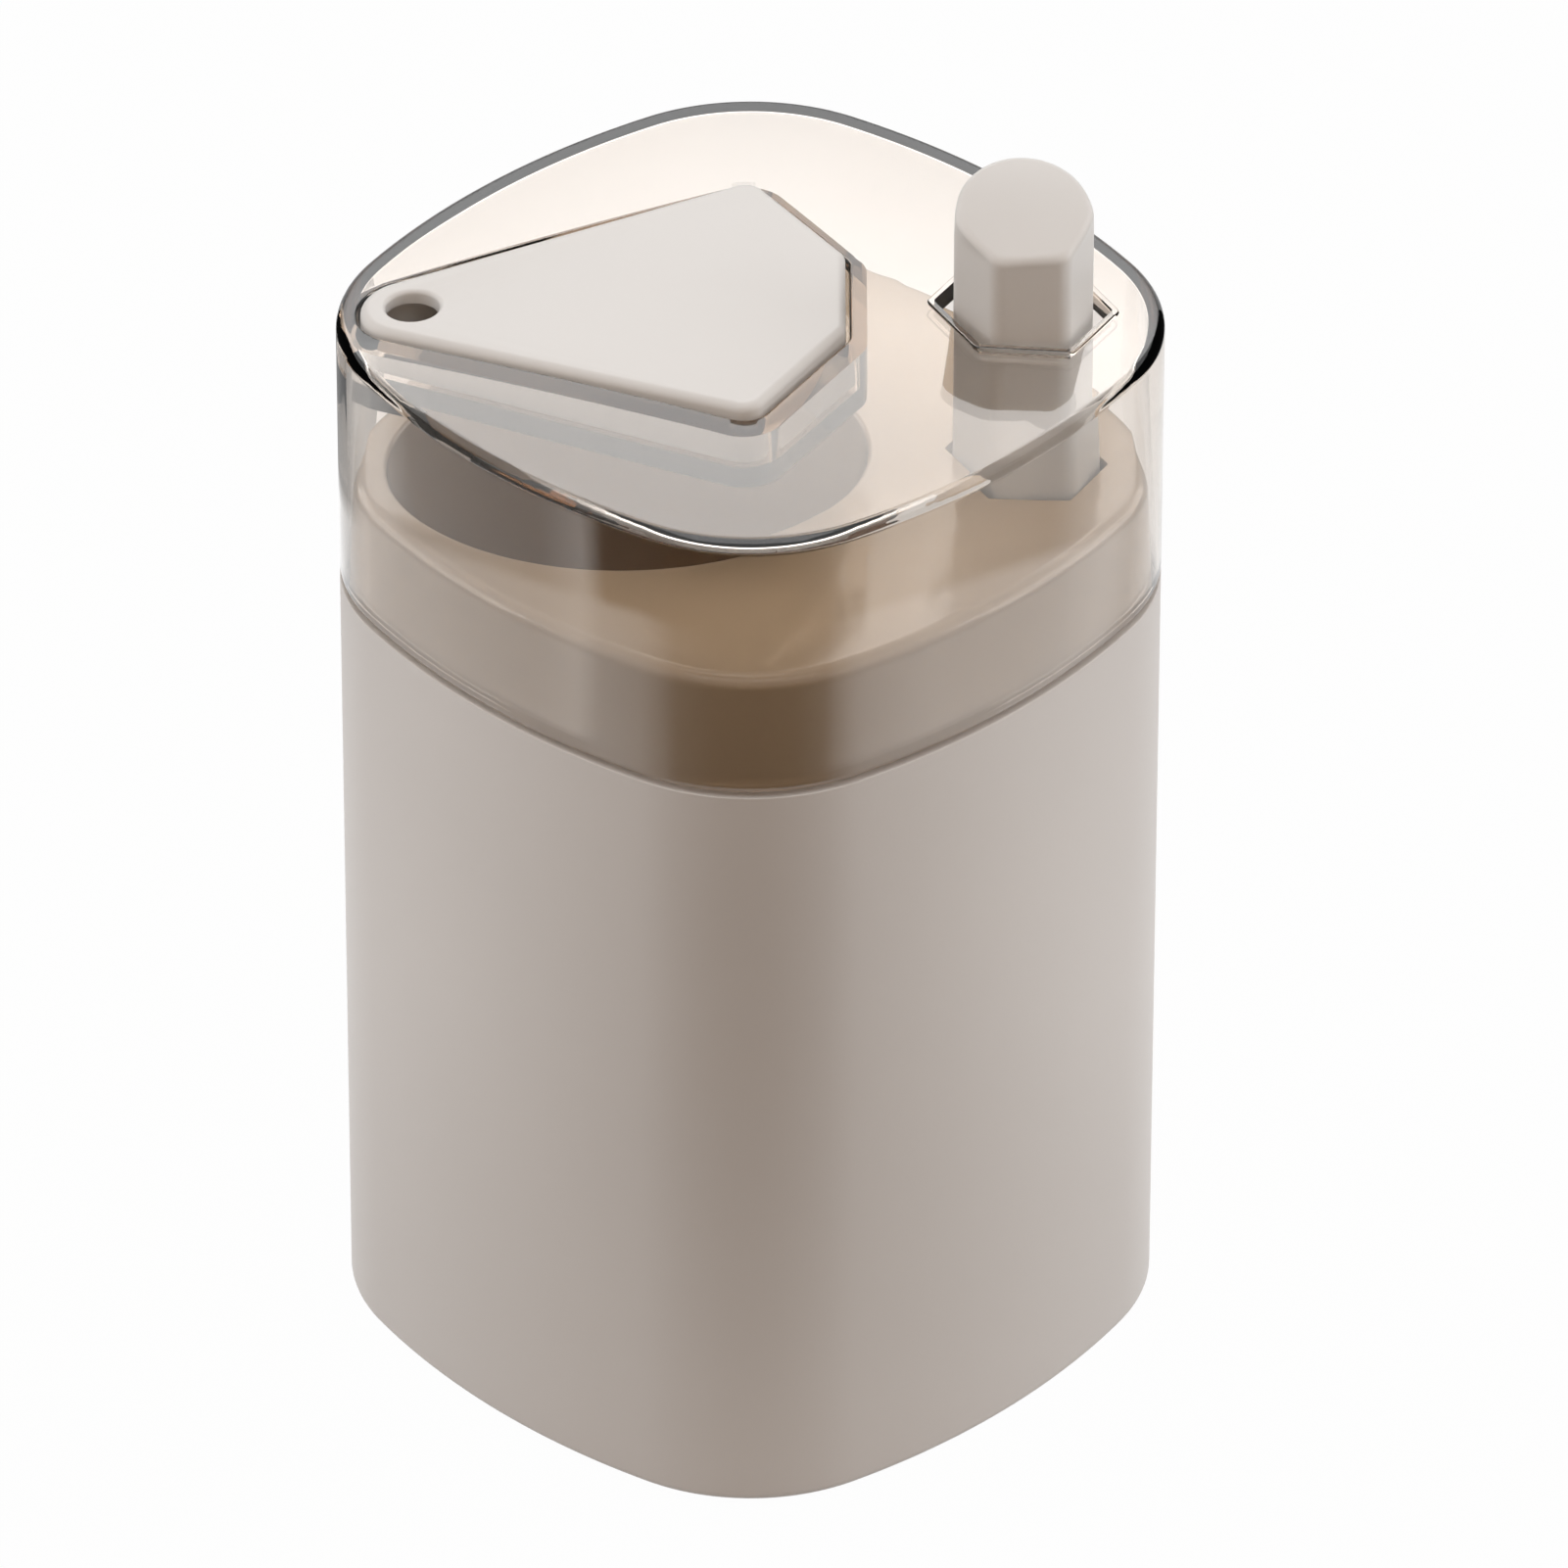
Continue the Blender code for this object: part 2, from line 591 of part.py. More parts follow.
def pestle_edge(point, inset, drop):
    """The outline's point carried up to the slanted top's edge, then moved in by inset and down by drop."""
    place = point
    for _ in range(EDGE_PASSES):
        side = pestle_side(point, pestle_top(place.y, 1) - drop)
        place = side - side.normalized() * inset
    return place.to_3d() + Vector((0, 0, pestle_top(place.y, 1) - drop))


def pestle_rings(bottom_z):
    """Rings of the pestle's outside: its six sides, the round end of them, the top's edge and its crown."""
    outline = [Vector(point) for point in pestle_outline(0)]
    foot = [pestle_edge(point, 0, PESTLE_EDGE_RADIUS) for point in outline]
    rings = [at_height(outline, bottom_z)]
    for i in range(ROUND_STEPS):
        heights = [PESTLE_ROUND_Z + (end.z - PESTLE_ROUND_Z) * i / ROUND_STEPS for end in foot]
        rings.append([(*pestle_side(point, z), z) for point, z in zip(outline, heights)])
    edge_centre = (PESTLE_EDGE_RADIUS, PESTLE_EDGE_RADIUS)
    for inset, drop in arc(edge_centre, PESTLE_EDGE_RADIUS, math.pi, 1.5 * math.pi, FILLET_STEPS):
        rings.append([pestle_edge(point, inset, drop) for point in outline])
    edge = [(x, y) for x, y, _ in rings[-1]]
    for i in range(1, CROWN_STEPS + 1):
        share = 1 - i / (CROWN_STEPS + 1)
        rings.append([(x, y, pestle_top(y, share)) for x, y in scaled(edge, share)])
    return rings


def pestle_handle(axis, material):
    """The hexagonal tube with a slanted top, open below for the head's spigot."""
    bottom_z = PESTLE_BOTTOM_Z + HEAD_LENGTH + SEAT_GAP
    handle = solid("pestle_handle", pestle_rings(bottom_z), material)
    hollow_outline = round_hexagon(PESTLE_FLATS - 2 * PESTLE_WALL, SPIGOT_CORNER_RADIUS)
    hollow = prism("pestle_hollow", hollow_outline, bottom_z - OVERCUT, PESTLE_FRONT_Z - PESTLE_ROOF)
    seat_on(axis, handle, hollow)
    cut(handle, hollow)
    return handle


def pestle_head(axis, material):
    """The crushing plug, with grooves that cross its face and a spigot that fits the handle."""
    shoulder_z = PESTLE_BOTTOM_Z + HEAD_LENGTH
    spigot = round_hexagon(PESTLE_FLATS - 2 * PESTLE_WALL - 2 * SEAT_GAP, SPIGOT_CORNER_RADIUS)
    profile = [
        (pestle_outline(HEAD_CHAMFER), PESTLE_BOTTOM_Z),
        (pestle_outline(0), PESTLE_BOTTOM_Z + HEAD_CHAMFER),
        (pestle_outline(0), shoulder_z),
        (spigot, shoulder_z),
        (spigot, shoulder_z + SPIGOT_LENGTH),
    ]
    head = solid("pestle_head", [at_height(outline, z) for outline, z in profile], material)
    seat_on(axis, head)
    open_half = GROOVE_DEPTH + OVERCUT
    open_z = PESTLE_BOTTOM_Z - OVERCUT
    section = [(-open_half, open_z), (open_half, open_z), (0, PESTLE_BOTTOM_Z + GROOVE_DEPTH)]
    ends = (-PESTLE_FLATS, PESTLE_FLATS)
    for i in range(GROOVE_COUNT):
        groove = solid(f"head_groove_{i}", [[(x, y, z) for y, z in section] for x in ends])
        groove.rotation_euler = (0, 0, math.pi * i / GROOVE_COUNT)
        seat_on(axis, groove)
        cut(head, groove)
    return head


def main():
    clear_scene()
    white = plastic("white_plastic", (0.66, 0.63, 0.60), 0.45)
    tray_tan = plastic("tray_plastic", (0.56, 0.39, 0.25), 0.25)
    gloss_white = plastic("gloss_white_plastic", (0.75, 0.73, 0.71), 0.35)
    amber = plastic("clear_amber_plastic", (0.84, 0.77, 0.69), 0.06, alpha=0.3)
    steel = plastic("steel", (0.62, 0.63, 0.64), 0.25, metallic=1.0)

    storage_cup(white)
    mortar_tray(tray_tan)
    clear_lid(amber)

    pestle_axis = tool_axis("pestle_axis", PESTLE_U)
    pestle_handle(pestle_axis, gloss_white)
    pestle_head(pestle_axis, gloss_white)

    cutter_axis = tool_axis("cutter_axis", EYE_U)
    cutter_cover(cutter_axis, gloss_white)
    blade_holder(cutter_axis, white)
    cutter_blade(cutter_axis, steel)
    holder_screws(cutter_axis, steel)


main()
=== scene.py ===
"""Looks of the pill crusher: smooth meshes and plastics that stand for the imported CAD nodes.

Metres, in the frame of the CAD. The cup, tray and lid share one outline, a square with bowed sides
and round corners. The cutter, the mortar and the pestle lie on the tool line, the diagonal from
-X-Y to +X+Y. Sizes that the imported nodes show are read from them, and the others are named here.
"""

import json
import math

import bmesh
import bpy
import numpy as np
from mathutils import Matrix, Vector

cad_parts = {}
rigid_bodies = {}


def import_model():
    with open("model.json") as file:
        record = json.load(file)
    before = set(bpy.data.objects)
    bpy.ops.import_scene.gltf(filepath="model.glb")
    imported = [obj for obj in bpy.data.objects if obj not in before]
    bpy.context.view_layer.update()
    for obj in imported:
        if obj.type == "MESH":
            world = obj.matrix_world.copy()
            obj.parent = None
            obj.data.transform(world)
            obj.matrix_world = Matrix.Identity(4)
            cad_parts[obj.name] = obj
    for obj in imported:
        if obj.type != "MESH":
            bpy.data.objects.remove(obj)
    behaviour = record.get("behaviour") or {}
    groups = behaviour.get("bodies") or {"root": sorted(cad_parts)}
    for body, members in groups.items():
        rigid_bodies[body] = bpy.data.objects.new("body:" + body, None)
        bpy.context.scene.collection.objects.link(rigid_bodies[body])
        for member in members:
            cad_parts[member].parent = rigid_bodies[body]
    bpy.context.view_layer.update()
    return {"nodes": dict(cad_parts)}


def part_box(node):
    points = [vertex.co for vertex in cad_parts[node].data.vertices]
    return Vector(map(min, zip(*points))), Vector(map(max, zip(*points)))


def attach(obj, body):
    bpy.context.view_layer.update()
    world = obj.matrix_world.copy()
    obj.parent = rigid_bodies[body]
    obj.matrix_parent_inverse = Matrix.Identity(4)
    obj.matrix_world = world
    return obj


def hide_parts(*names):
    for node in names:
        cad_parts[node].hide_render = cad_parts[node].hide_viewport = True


for startup_object in list(bpy.data.objects):
    bpy.data.objects.remove(startup_object)

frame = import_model()

MM = 0.001


def bottom_of(node):
    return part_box(node)[0].z


def top_of(node):
    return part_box(node)[1].z


def span_along(node):
    """The least and the greatest place of a node along the tool line."""
    places = [(v.co.x + v.co.y) / math.sqrt(2) for v in frame["nodes"][node].data.vertices]
    return min(places), max(places)


# Shared outline
HALF_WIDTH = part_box("storage_cup")[1].x
SIDE_RADIUS = 73.0 * MM
CORNER_RADIUS = 18.0 * MM
TOOL_LINE_ANGLE = math.radians(45)

# Clearances
SEAT_GAP = 0.3 * MM
SLIDE_GAP = 0.35 * MM

# Storage cup
CUP_TOP_Z = top_of("storage_cup")
CUP_WALL = 2.8 * MM
CUP_FLOOR = 2.6 * MM
CUP_FLOOR_RADIUS = 3.0 * MM
CUP_EDGE_RADIUS = 1.0 * MM
RIM_WALL = 1.5 * MM
RIM_ROUND = 0.12 * MM
LEDGE_DEPTH = 16.0 * MM
FOOT_WIDTH = 4.0 * MM
FOOT_RECESS = 0.8 * MM

# Mortar tray
TRAY_TOP_Z = top_of("mortar_tray")
TRAY_BOTTOM_Z = CUP_TOP_Z - LEDGE_DEPTH + SEAT_GAP
NECK_INSET = HALF_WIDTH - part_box("mortar_tray")[1].x
TRAY_WALL = 1.6 * MM
TRAY_DECK = 2.0 * MM
TRAY_EDGE_RADIUS = 1.4 * MM
BOWL_MARGIN = 3.3 * MM
BOWL_BRIDGE = 5.0 * MM
BOWL_WIDTH = 33.6 * MM
BOWL_DEPTH = 28.0 * MM
BOWL_DRAFT = 2.0 * MM
BOWL_WALL = 1.6 * MM
BOWL_FLOOR_RADIUS = 6.0 * MM
BOWL_RIM_ROUND = 0.5 * MM
RIB_COUNT = 6
RIB_HEIGHT = 0.8 * MM
RIB_WIDTH = 1.6 * MM
RIB_HUB = 2.0 * MM
SOCKET_WALL = 1.5 * MM
SOCKET_FLOOR_Z = bottom_of("mortar_tray") + 1.5 * MM

# Clear lid
LID_BOTTOM_Z = bottom_of("clear_lid")
LID_HEIGHT = 26.2 * MM
LID_CROWN = 1.7 * MM
LID_WALL = 1.5 * MM
LID_TOP = 1.6 * MM
LID_EDGE_RADIUS = 1.1 * MM
LID_INNER_RADIUS = 0.4 * MM
LID_CORNER_INNER_RADIUS = 0.08 * MM
LID_CORNER_START = 26.0 * MM
LID_CORNER_FULL = 30.0 * MM
LID_FOOT_ROUND = 0.8 * MM
POCKET_DEPTH = 4.2 * MM
POCKET_WALL = 1.5 * MM
POCKET_FLOOR = 1.5 * MM
POCKET_RIM_ROUND = 0.3 * MM
COLLAR_GAP = 1.25 * MM
COLLAR_WALL = 0.6 * MM
COLLAR_STEP = 0.2 * MM
COLLAR_EDGE_RADIUS = 0.2 * MM
HEX_HOLE_RADIUS = 0.4 * MM

# Pestle
PESTLE_U = sum(span_along("pestle_handle")) / 2
PESTLE_FLATS = 11.1 * MM
PESTLE_CORNER_RADIUS = 1.7 * MM
PESTLE_LENGTH = 75.8 * MM
PESTLE_BOTTOM_Z = bottom_of("pestle_head")
PESTLE_SLANT = math.radians(17.5)
PESTLE_TWIST = math.radians(6.5)
PESTLE_CROWN = 0.4 * MM
PESTLE_EDGE_RADIUS = 0.8 * MM
PESTLE_TOP_BULGE = 0.5 * MM
PESTLE_ROUND_START = 0.4 * MM
PESTLE_ROUND_RISE = 3.8 * MM
PESTLE_WALL = 1.8 * MM
PESTLE_ROOF = 3.0 * MM
HEAD_EDGE_RADIUS = 0.8 * MM
SPIGOT_CORNER_RADIUS = 0.5 * MM
GROOVE_DEPTH = 1.2 * MM
GROOVE_COUNT = 3

# Pill cutter
CUTTER_START_U, CUTTER_END_U = span_along("cutter_cover")
CUTTER_WIDTH = 36.7 * MM
CUTTER_END_WIDTH = 14.4 * MM
CUTTER_SHOULDER = 8.9 * MM
CUTTER_EYE_RADIUS = 4.6 * MM
CUTTER_HOLE = 4.8 * MM
CUTTER_HOLE_ROUND = 0.4 * MM
CUTTER_SHOULDER_RADIUS = 2.0 * MM
CUTTER_END_RADIUS = 1.6 * MM
CUTTER_TIP_THICKNESS = 4.7 * MM
CUTTER_END_THICKNESS = 6.6 * MM
CUTTER_EDGE_RADIUS = 0.8 * MM
CUTTER_WALL = 1.3 * MM
CUTTER_HOLLOW = 3.6 * MM
SCREW_RADIUS = 0.75 * MM
SCREW_BITE = 0.8 * MM

# Facets
SIDE_STEPS = 24
CORNER_STEPS = 28
FILLET_STEPS = 8
SMALL_FILLET_STEPS = 4
EYE_FLARE_STEPS = 6
CROWN_STEPS = 14
ARC_STEPS = 14
FLAT_STEPS = 12
ROUND_STEPS = 12
EDGE_PASSES = 4
BOWL_STEPS = 144
HOLE_STEPS = 64
SHARP_ANGLE = math.radians(30)
OVERCUT = 1.0 * MM

# Sizes that follow from the ones above
HEX_CORNERS_PER_FLATS = 2 / math.sqrt(3)
SOCKET_FLATS = PESTLE_FLATS + 2 * SLIDE_GAP
COLLAR_HOLE = PESTLE_FLATS + 2 * COLLAR_GAP
COLLAR_FLATS = COLLAR_HOLE + 2 * COLLAR_WALL
SOCKET_REACH = (SOCKET_FLATS + 2 * SOCKET_WALL) * HEX_CORNERS_PER_FLATS / 2
PESTLE_TOP_Z = PESTLE_BOTTOM_Z + PESTLE_LENGTH
PESTLE_FRONT_Z = PESTLE_TOP_Z - PESTLE_FLATS / 2 * math.tan(PESTLE_SLANT)
PESTLE_ROUND_Z = PESTLE_FRONT_Z - PESTLE_EDGE_RADIUS - PESTLE_ROUND_START
PESTLE_TOP_RADIUS = PESTLE_FLATS / 2 + PESTLE_TOP_BULGE
LID_EDGE_Z = LID_BOTTOM_Z + LID_HEIGHT
EYE_U = CUTTER_START_U + CUTTER_EYE_RADIUS
CUTTER_END_X = CUTTER_END_U - EYE_U
POCKET_FLOOR_Z = LID_EDGE_Z - POCKET_DEPTH
CUTTER_BOTTOM_Z = bottom_of("cutter_cover")
CUTTER_ROOF_Z = CUTTER_BOTTOM_Z + CUTTER_HOLLOW

# Camera, from the outlines in the photograph
VIEW_AZIMUTH = 45.0
VIEW_ELEVATION = 34.25
VIEW_DISTANCE = 1.45
VIEW_TARGET = Vector((0, 0, 50 * MM))
SENSOR_WIDTH = 36.0
FOCAL_LENGTH = 372.5
VIEW_SHIFT = (0.0214, 0.0171)

# Finishes, with linear colours
MATTE_WHITE = (0.65, 0.63, 0.615)
GLOSS_TAN = (0.53, 0.40, 0.27)
SATIN_WHITE = (0.72, 0.715, 0.705)
BLADE_STEEL = (0.62, 0.63, 0.64)
SCREW_STEEL = (0.55, 0.55, 0.56)
AMBER = (0.82, 0.75, 0.68)
AMBER_DENSITY = 330
AMBER_IOR = 1.57
AMBER_WAVE_DEPTH = 0.02 * MM

# Studio
FILL_COLOUR = (0.62, 0.50, 0.41)
FILL_STRENGTH = 0.34
FLOOR_COLOUR = (0.5, 0.5, 0.5)
FLOOR_GLOW_SHARE = 0.98
FLOOR_HALF = 4.0
FLOOR_Z = -0.2 * MM
CARD_NEAR = 75 * MM
CARD_FAR = 230 * MM
FRONT_CARD_COLOUR = (0.03, 0.02, 0.014)
FRONT_CARD_SPREAD = 46
FRONT_CARD_STEP = 4
FRONT_CARD_Z = 0.4 * MM
GLOW_STEP = 2
GLOW_NEAR_END = 152 * MM
GLOW_FAR_START = 158 * MM
GLOW_Z = 0.8 * MM
HORIZON_STEPS = 24
HORIZON_DISTANCE = 1.5
HORIZON_Z = 0.6 * MM
FRONT_LAMP_COLOUR = (1, 0.67, 0.43)


def corner_centre():
    """Distance along X, and along Y, from the axis to the centre of a corner's arc."""
    bow = SIDE_RADIUS - HALF_WIDTH
    reach = SIDE_RADIUS - CORNER_RADIUS
    return (math.sqrt(2 * reach * reach - bow * bow) - bow) / 2


def corner_reach(inset):
    """Distance from the axis to a corner of the outline moved in by inset."""
    return math.sqrt(2) * corner_centre() + CORNER_RADIUS - inset


def arc(centre, radius, start, end, steps):
    """Points of an arc from angle start to angle end, both included."""
    angles = [start + (end - start) * i / steps for i in range(steps + 1)]
    return [(centre[0] + radius * math.cos(a), centre[1] + radius * math.sin(a)) for a in angles]


def bowed_square(inset):
    """The shared outline moved in by inset, counter-clockwise from the middle of the +X side."""
    bow = SIDE_RADIUS - HALF_WIDTH
    middle = corner_centre()
    swing = math.atan2(middle, middle + bow)
    side = arc((-bow, 0), SIDE_RADIUS - inset, -swing, swing, SIDE_STEPS)
    corner = arc((middle, middle), CORNER_RADIUS - inset, swing, math.pi / 2 - swing, CORNER_STEPS)
    quarter = [Vector(point) for point in side[:-1] + corner[:-1]]
    turns = [Matrix.Rotation(i * math.pi / 2, 2) for i in range(4)]
    return [tuple(turn @ point) for turn in turns for point in quarter]


def outline_reach(x, y, inset):
    """Distance from the axis to the outline moved in by inset, towards the point x, y."""
    angle = math.atan2(y, x) % (math.pi / 2)
    angle = min(angle, math.pi / 2 - angle)
    bow = SIDE_RADIUS - HALF_WIDTH
    middle = corner_centre()
    corner_start = math.atan2(middle, middle + bow)
    radius = CORNER_RADIUS - inset
    start_x = middle + radius * math.cos(corner_start)
    start_y = middle + radius * math.sin(corner_start)
    if angle < math.atan2(start_y, start_x):
        side = SIDE_RADIUS - inset
        return math.sqrt(side ** 2 - (bow * math.sin(angle)) ** 2) - bow * math.cos(angle)
    across = middle * (math.cos(angle) - math.sin(angle))
    return middle * (math.cos(angle) + math.sin(angle)) + math.sqrt(radius ** 2 - across ** 2)


def wrapped_circles(circles, grow):
    """The band that wraps circles (x, y, radius), listed counter-clockwise, grown outward by grow."""
    normals = []
    for (ax, ay, ar), (bx, by, br) in zip(circles, circles[1:] + circles[:1]):
        direction = math.atan2(by - ay, bx - ax)
        normals.append(direction - math.acos((ar - br) / math.hypot(bx - ax, by - ay)))
    points = []
    for i, (x, y, radius) in enumerate(circles):
        start = normals[i - 1]
        sweep = (normals[i] - start) % (2 * math.pi)
        points += arc((x, y), radius + grow, start, start + sweep, ARC_STEPS)
    return points


def round_hexagon(flats, radius):
    """A hexagon across flats with round corners, the first on local +X, and points along its flats."""
    reach = (flats / 2 - radius) * HEX_CORNERS_PER_FLATS
    corners = arc((0, 0), reach, 0, 2 * math.pi, 6)[:-1]
    rounded = wrapped_circles([(x, y, radius) for x, y in corners], 0)
    points = []
    for i, (start, end) in enumerate(zip(rounded, rounded[1:] + rounded[:1]), 1):
        steps = 1 if i % (ARC_STEPS + 1) else FLAT_STEPS
        points += [tuple(Vector(start).lerp(Vector(end), k / steps)) for k in range(steps)]
    return points


def circle(radius, steps):
    return arc((0, 0), radius, 0, 2 * math.pi, steps)[:-1]


def ellipse(half_length, half_width):
    return [(half_length * x, half_width * y) for x, y in circle(1, BOWL_STEPS)]


def scaled(points, factor):
    return [(x * factor, y * factor) for x, y in points]


def at_height(points, z):
    return [(x, y, z) for x, y in points]


def on_tool_line(rings, along, twist=0.0):
    """Rings moved along the tool line, with their X axis turned onto it and by twist from it."""
    place = Matrix.Rotation(TOOL_LINE_ANGLE, 4, "Z") @ Matrix.Translation((along, 0, 0))
    place = place @ Matrix.Rotation(twist, 4, "Z")
    return [[tuple(place @ Vector(point)) for point in ring] for ring in rings]


def solid(name, rings):
    """One closed object through a stack of rings with equal counts, capped at both ends."""
    mesh = bpy.data.meshes.new(name)
    bm = bmesh.new()
    loops = [[bm.verts.new(point) for point in ring] for ring in rings]
    for lower, upper in zip(loops, loops[1:]):
        for i in range(len(lower)):
            j = (i + 1) % len(lower)
            bm.faces.new((lower[i], lower[j], upper[j], upper[i]))
    bm.faces.new(loops[0][::-1])
    bm.faces.new(loops[-1])
    bmesh.ops.recalc_face_normals(bm, faces=bm.faces)
    bm.to_mesh(mesh)
    bm.free()
    obj = bpy.data.objects.new(name, mesh)
    bpy.context.scene.collection.objects.link(obj)
    return obj


def combine(obj, operation, *others):
    for other in others:
        modifier = obj.modifiers.new(other.name, "BOOLEAN")
        modifier.operation = operation
        modifier.object = other
        modifier.solver = "EXACT"


def settle(obj, *helpers):
    """Applies an object's modifiers, shades it smooth and removes the objects that shaped it."""
    graph = bpy.context.evaluated_depsgraph_get()
    mesh = bpy.data.meshes.new_from_object(obj.evaluated_get(graph))
    obj.modifiers.clear()
    obj.data = mesh
    for helper in helpers:
        bpy.data.objects.remove(helper)
    mesh.shade_smooth()
    mesh.set_sharp_from_angle(angle=SHARP_ANGLE)
    return obj


def swept(section):
    """Rings of the shared outline that follow a wall section of (inset, z) points."""
    return [at_height(bowed_square(inset), z) for inset, z in section]


def crown_rings(inset, edge_z):
    """Rings of a crowned plate from its edge to a small flat in the middle."""
    edge = bowed_square(inset)
    shares = [1 - i / (CROWN_STEPS + 1) for i in range(CROWN_STEPS + 1)]
    return [at_height(scaled(edge, s), edge_z + LID_CROWN * (1 - s * s)) for s in shares]


def crown_height(x, y):
    """Height of the lid's outer face above the point x, y."""
    share = math.hypot(x, y) / outline_reach(x, y, LID_EDGE_RADIUS)
    return LID_EDGE_Z + LID_CROWN * (1 - share * share)


def smooth_cup():
    """The outer cup, with a ledge inside for the tray and a foot ring underneath."""
    foot = [(FOOT_WIDTH, FOOT_RECESS), (FOOT_WIDTH, 0)]
    edge_centre = (CUP_EDGE_RADIUS, CUP_EDGE_RADIUS)
    lower_edge = arc(edge_centre, CUP_EDGE_RADIUS, 1.5 * math.pi, math.pi, FILLET_STEPS)
    rim_z = CUP_TOP_Z - RIM_ROUND
    outer_rim = arc((RIM_ROUND, rim_z), RIM_ROUND, math.pi, math.pi / 2, FILLET_STEPS)
    inner_rim = arc((RIM_WALL - RIM_ROUND, rim_z), RIM_ROUND, math.pi / 2, 0, FILLET_STEPS)
    ledge_z = CUP_TOP_Z - LEDGE_DEPTH
    ledge = [(RIM_WALL, ledge_z), (CUP_WALL, ledge_z)]
    floor_centre = (CUP_WALL + CUP_FLOOR_RADIUS, CUP_FLOOR + CUP_FLOOR_RADIUS)
    floor_edge = arc(floor_centre, CUP_FLOOR_RADIUS, math.pi, 1.5 * math.pi, FILLET_STEPS)
    section = foot + lower_edge + outer_rim + inner_rim + ledge + floor_edge
    return settle(solid("cup_shell", swept(section)))


def bowl_span():
    """The mortar's two ends on the tool line."""
    return BOWL_MARGIN - corner_reach(NECK_INSET), PESTLE_U - SOCKET_REACH - BOWL_BRIDGE


def bowl_rings(grow, mouth):
    """Oval rings of the mortar, grown outward by grow: its rounded floor, then the mouth's (inset, z)."""
    start, end = bowl_span()
    length = (end - start) / 2 + grow
    width = BOWL_WIDTH / 2 + grow
    radius = BOWL_FLOOR_RADIUS + grow
    floor_centre = (BOWL_DRAFT + radius, TRAY_TOP_Z - BOWL_DEPTH + BOWL_FLOOR_RADIUS)
    profile = arc(floor_centre, radius, 1.5 * math.pi, math.pi, FILLET_STEPS) + mouth
    rings = [at_height(ellipse(length - inset, width - inset), z) for inset, z in profile]
    return on_tool_line(rings, (start + end) / 2)


def bowl_ribs():
    """Radial grinding ribs that rise from the mortar's floor."""
    start, end = bowl_span()
    floor_z = TRAY_TOP_Z - BOWL_DEPTH
    reach = BOWL_WIDTH / 2 - BOWL_DRAFT - BOWL_FLOOR_RADIUS
    ribs = []
    for i in range(RIB_COUNT):
        turn = Matrix.Rotation(2 * math.pi * i / RIB_COUNT, 2)
        rings = []
        for half, z in ((RIB_WIDTH / 2, floor_z - BOWL_WALL / 2), (RIB_WIDTH / 4, floor_z + RIB_HEIGHT)):
            outline = [(RIB_HUB, -half), (reach, -half), (reach, half), (RIB_HUB, half)]
            rings.append(at_height([tuple(turn @ Vector(point)) for point in outline], z))
        ribs.append(solid(f"bowl_rib_{i}", on_tool_line(rings, (start + end) / 2)))
    return ribs


def smooth_tray():
    """The tray that drops into the cup: a skirt and deck with the mortar and the pestle's socket."""
    edge_centre = (TRAY_EDGE_RADIUS, TRAY_TOP_Z - TRAY_EDGE_RADIUS)
    top_edge = arc(edge_centre, TRAY_EDGE_RADIUS, math.pi, math.pi / 2, FILLET_STEPS)
    outside = [(0, TRAY_BOTTOM_Z)] + top_edge
    tray = solid("tray_shell", swept([(NECK_INSET + inset, z) for inset, z in outside]))

    inside = bowed_square(NECK_INSET + TRAY_WALL)
    cavity_heights = (TRAY_BOTTOM_Z - OVERCUT, TRAY_TOP_Z - TRAY_DECK)
    cavity = solid("tray_cavity", [at_height(inside, z) for z in cavity_heights])
    deck_middle = TRAY_TOP_Z - TRAY_DECK / 2

    rim_centre = (-BOWL_RIM_ROUND, TRAY_TOP_Z - BOWL_RIM_ROUND)
    mouth = arc(rim_centre, BOWL_RIM_ROUND, 0, math.pi / 2, FILLET_STEPS)
    mouth.append((-BOWL_RIM_ROUND, TRAY_TOP_Z + OVERCUT))
    bowl_body = solid("bowl_body", bowl_rings(BOWL_WALL, [(0, deck_middle)]))
    bowl_space = solid("bowl_space", bowl_rings(0, mouth))

    socket_outside = round_hexagon(SOCKET_FLATS + 2 * SOCKET_WALL, HEX_HOLE_RADIUS + SOCKET_WALL)
    body_heights = (bottom_of("mortar_tray"), deck_middle)
    body_rings = [at_height(socket_outside, z) for z in body_heights]
    socket_body = solid("socket_body", on_tool_line(body_rings, PESTLE_U))
    socket_inside = round_hexagon(SOCKET_FLATS, HEX_HOLE_RADIUS)
    space_rings = [at_height(socket_inside, SOCKET_FLOOR_Z), at_height(socket_inside, TRAY_TOP_Z + OVERCUT)]
    socket_space = solid("socket_space", on_tool_line(space_rings, PESTLE_U))

    ribs = bowl_ribs()
    combine(tray, "DIFFERENCE", cavity)
    combine(tray, "UNION", bowl_body, socket_body)
    combine(tray, "DIFFERENCE", bowl_space, socket_space)
    combine(tray, "UNION", *ribs)
    return settle(tray, cavity, bowl_body, socket_body, bowl_space, socket_space, *ribs)


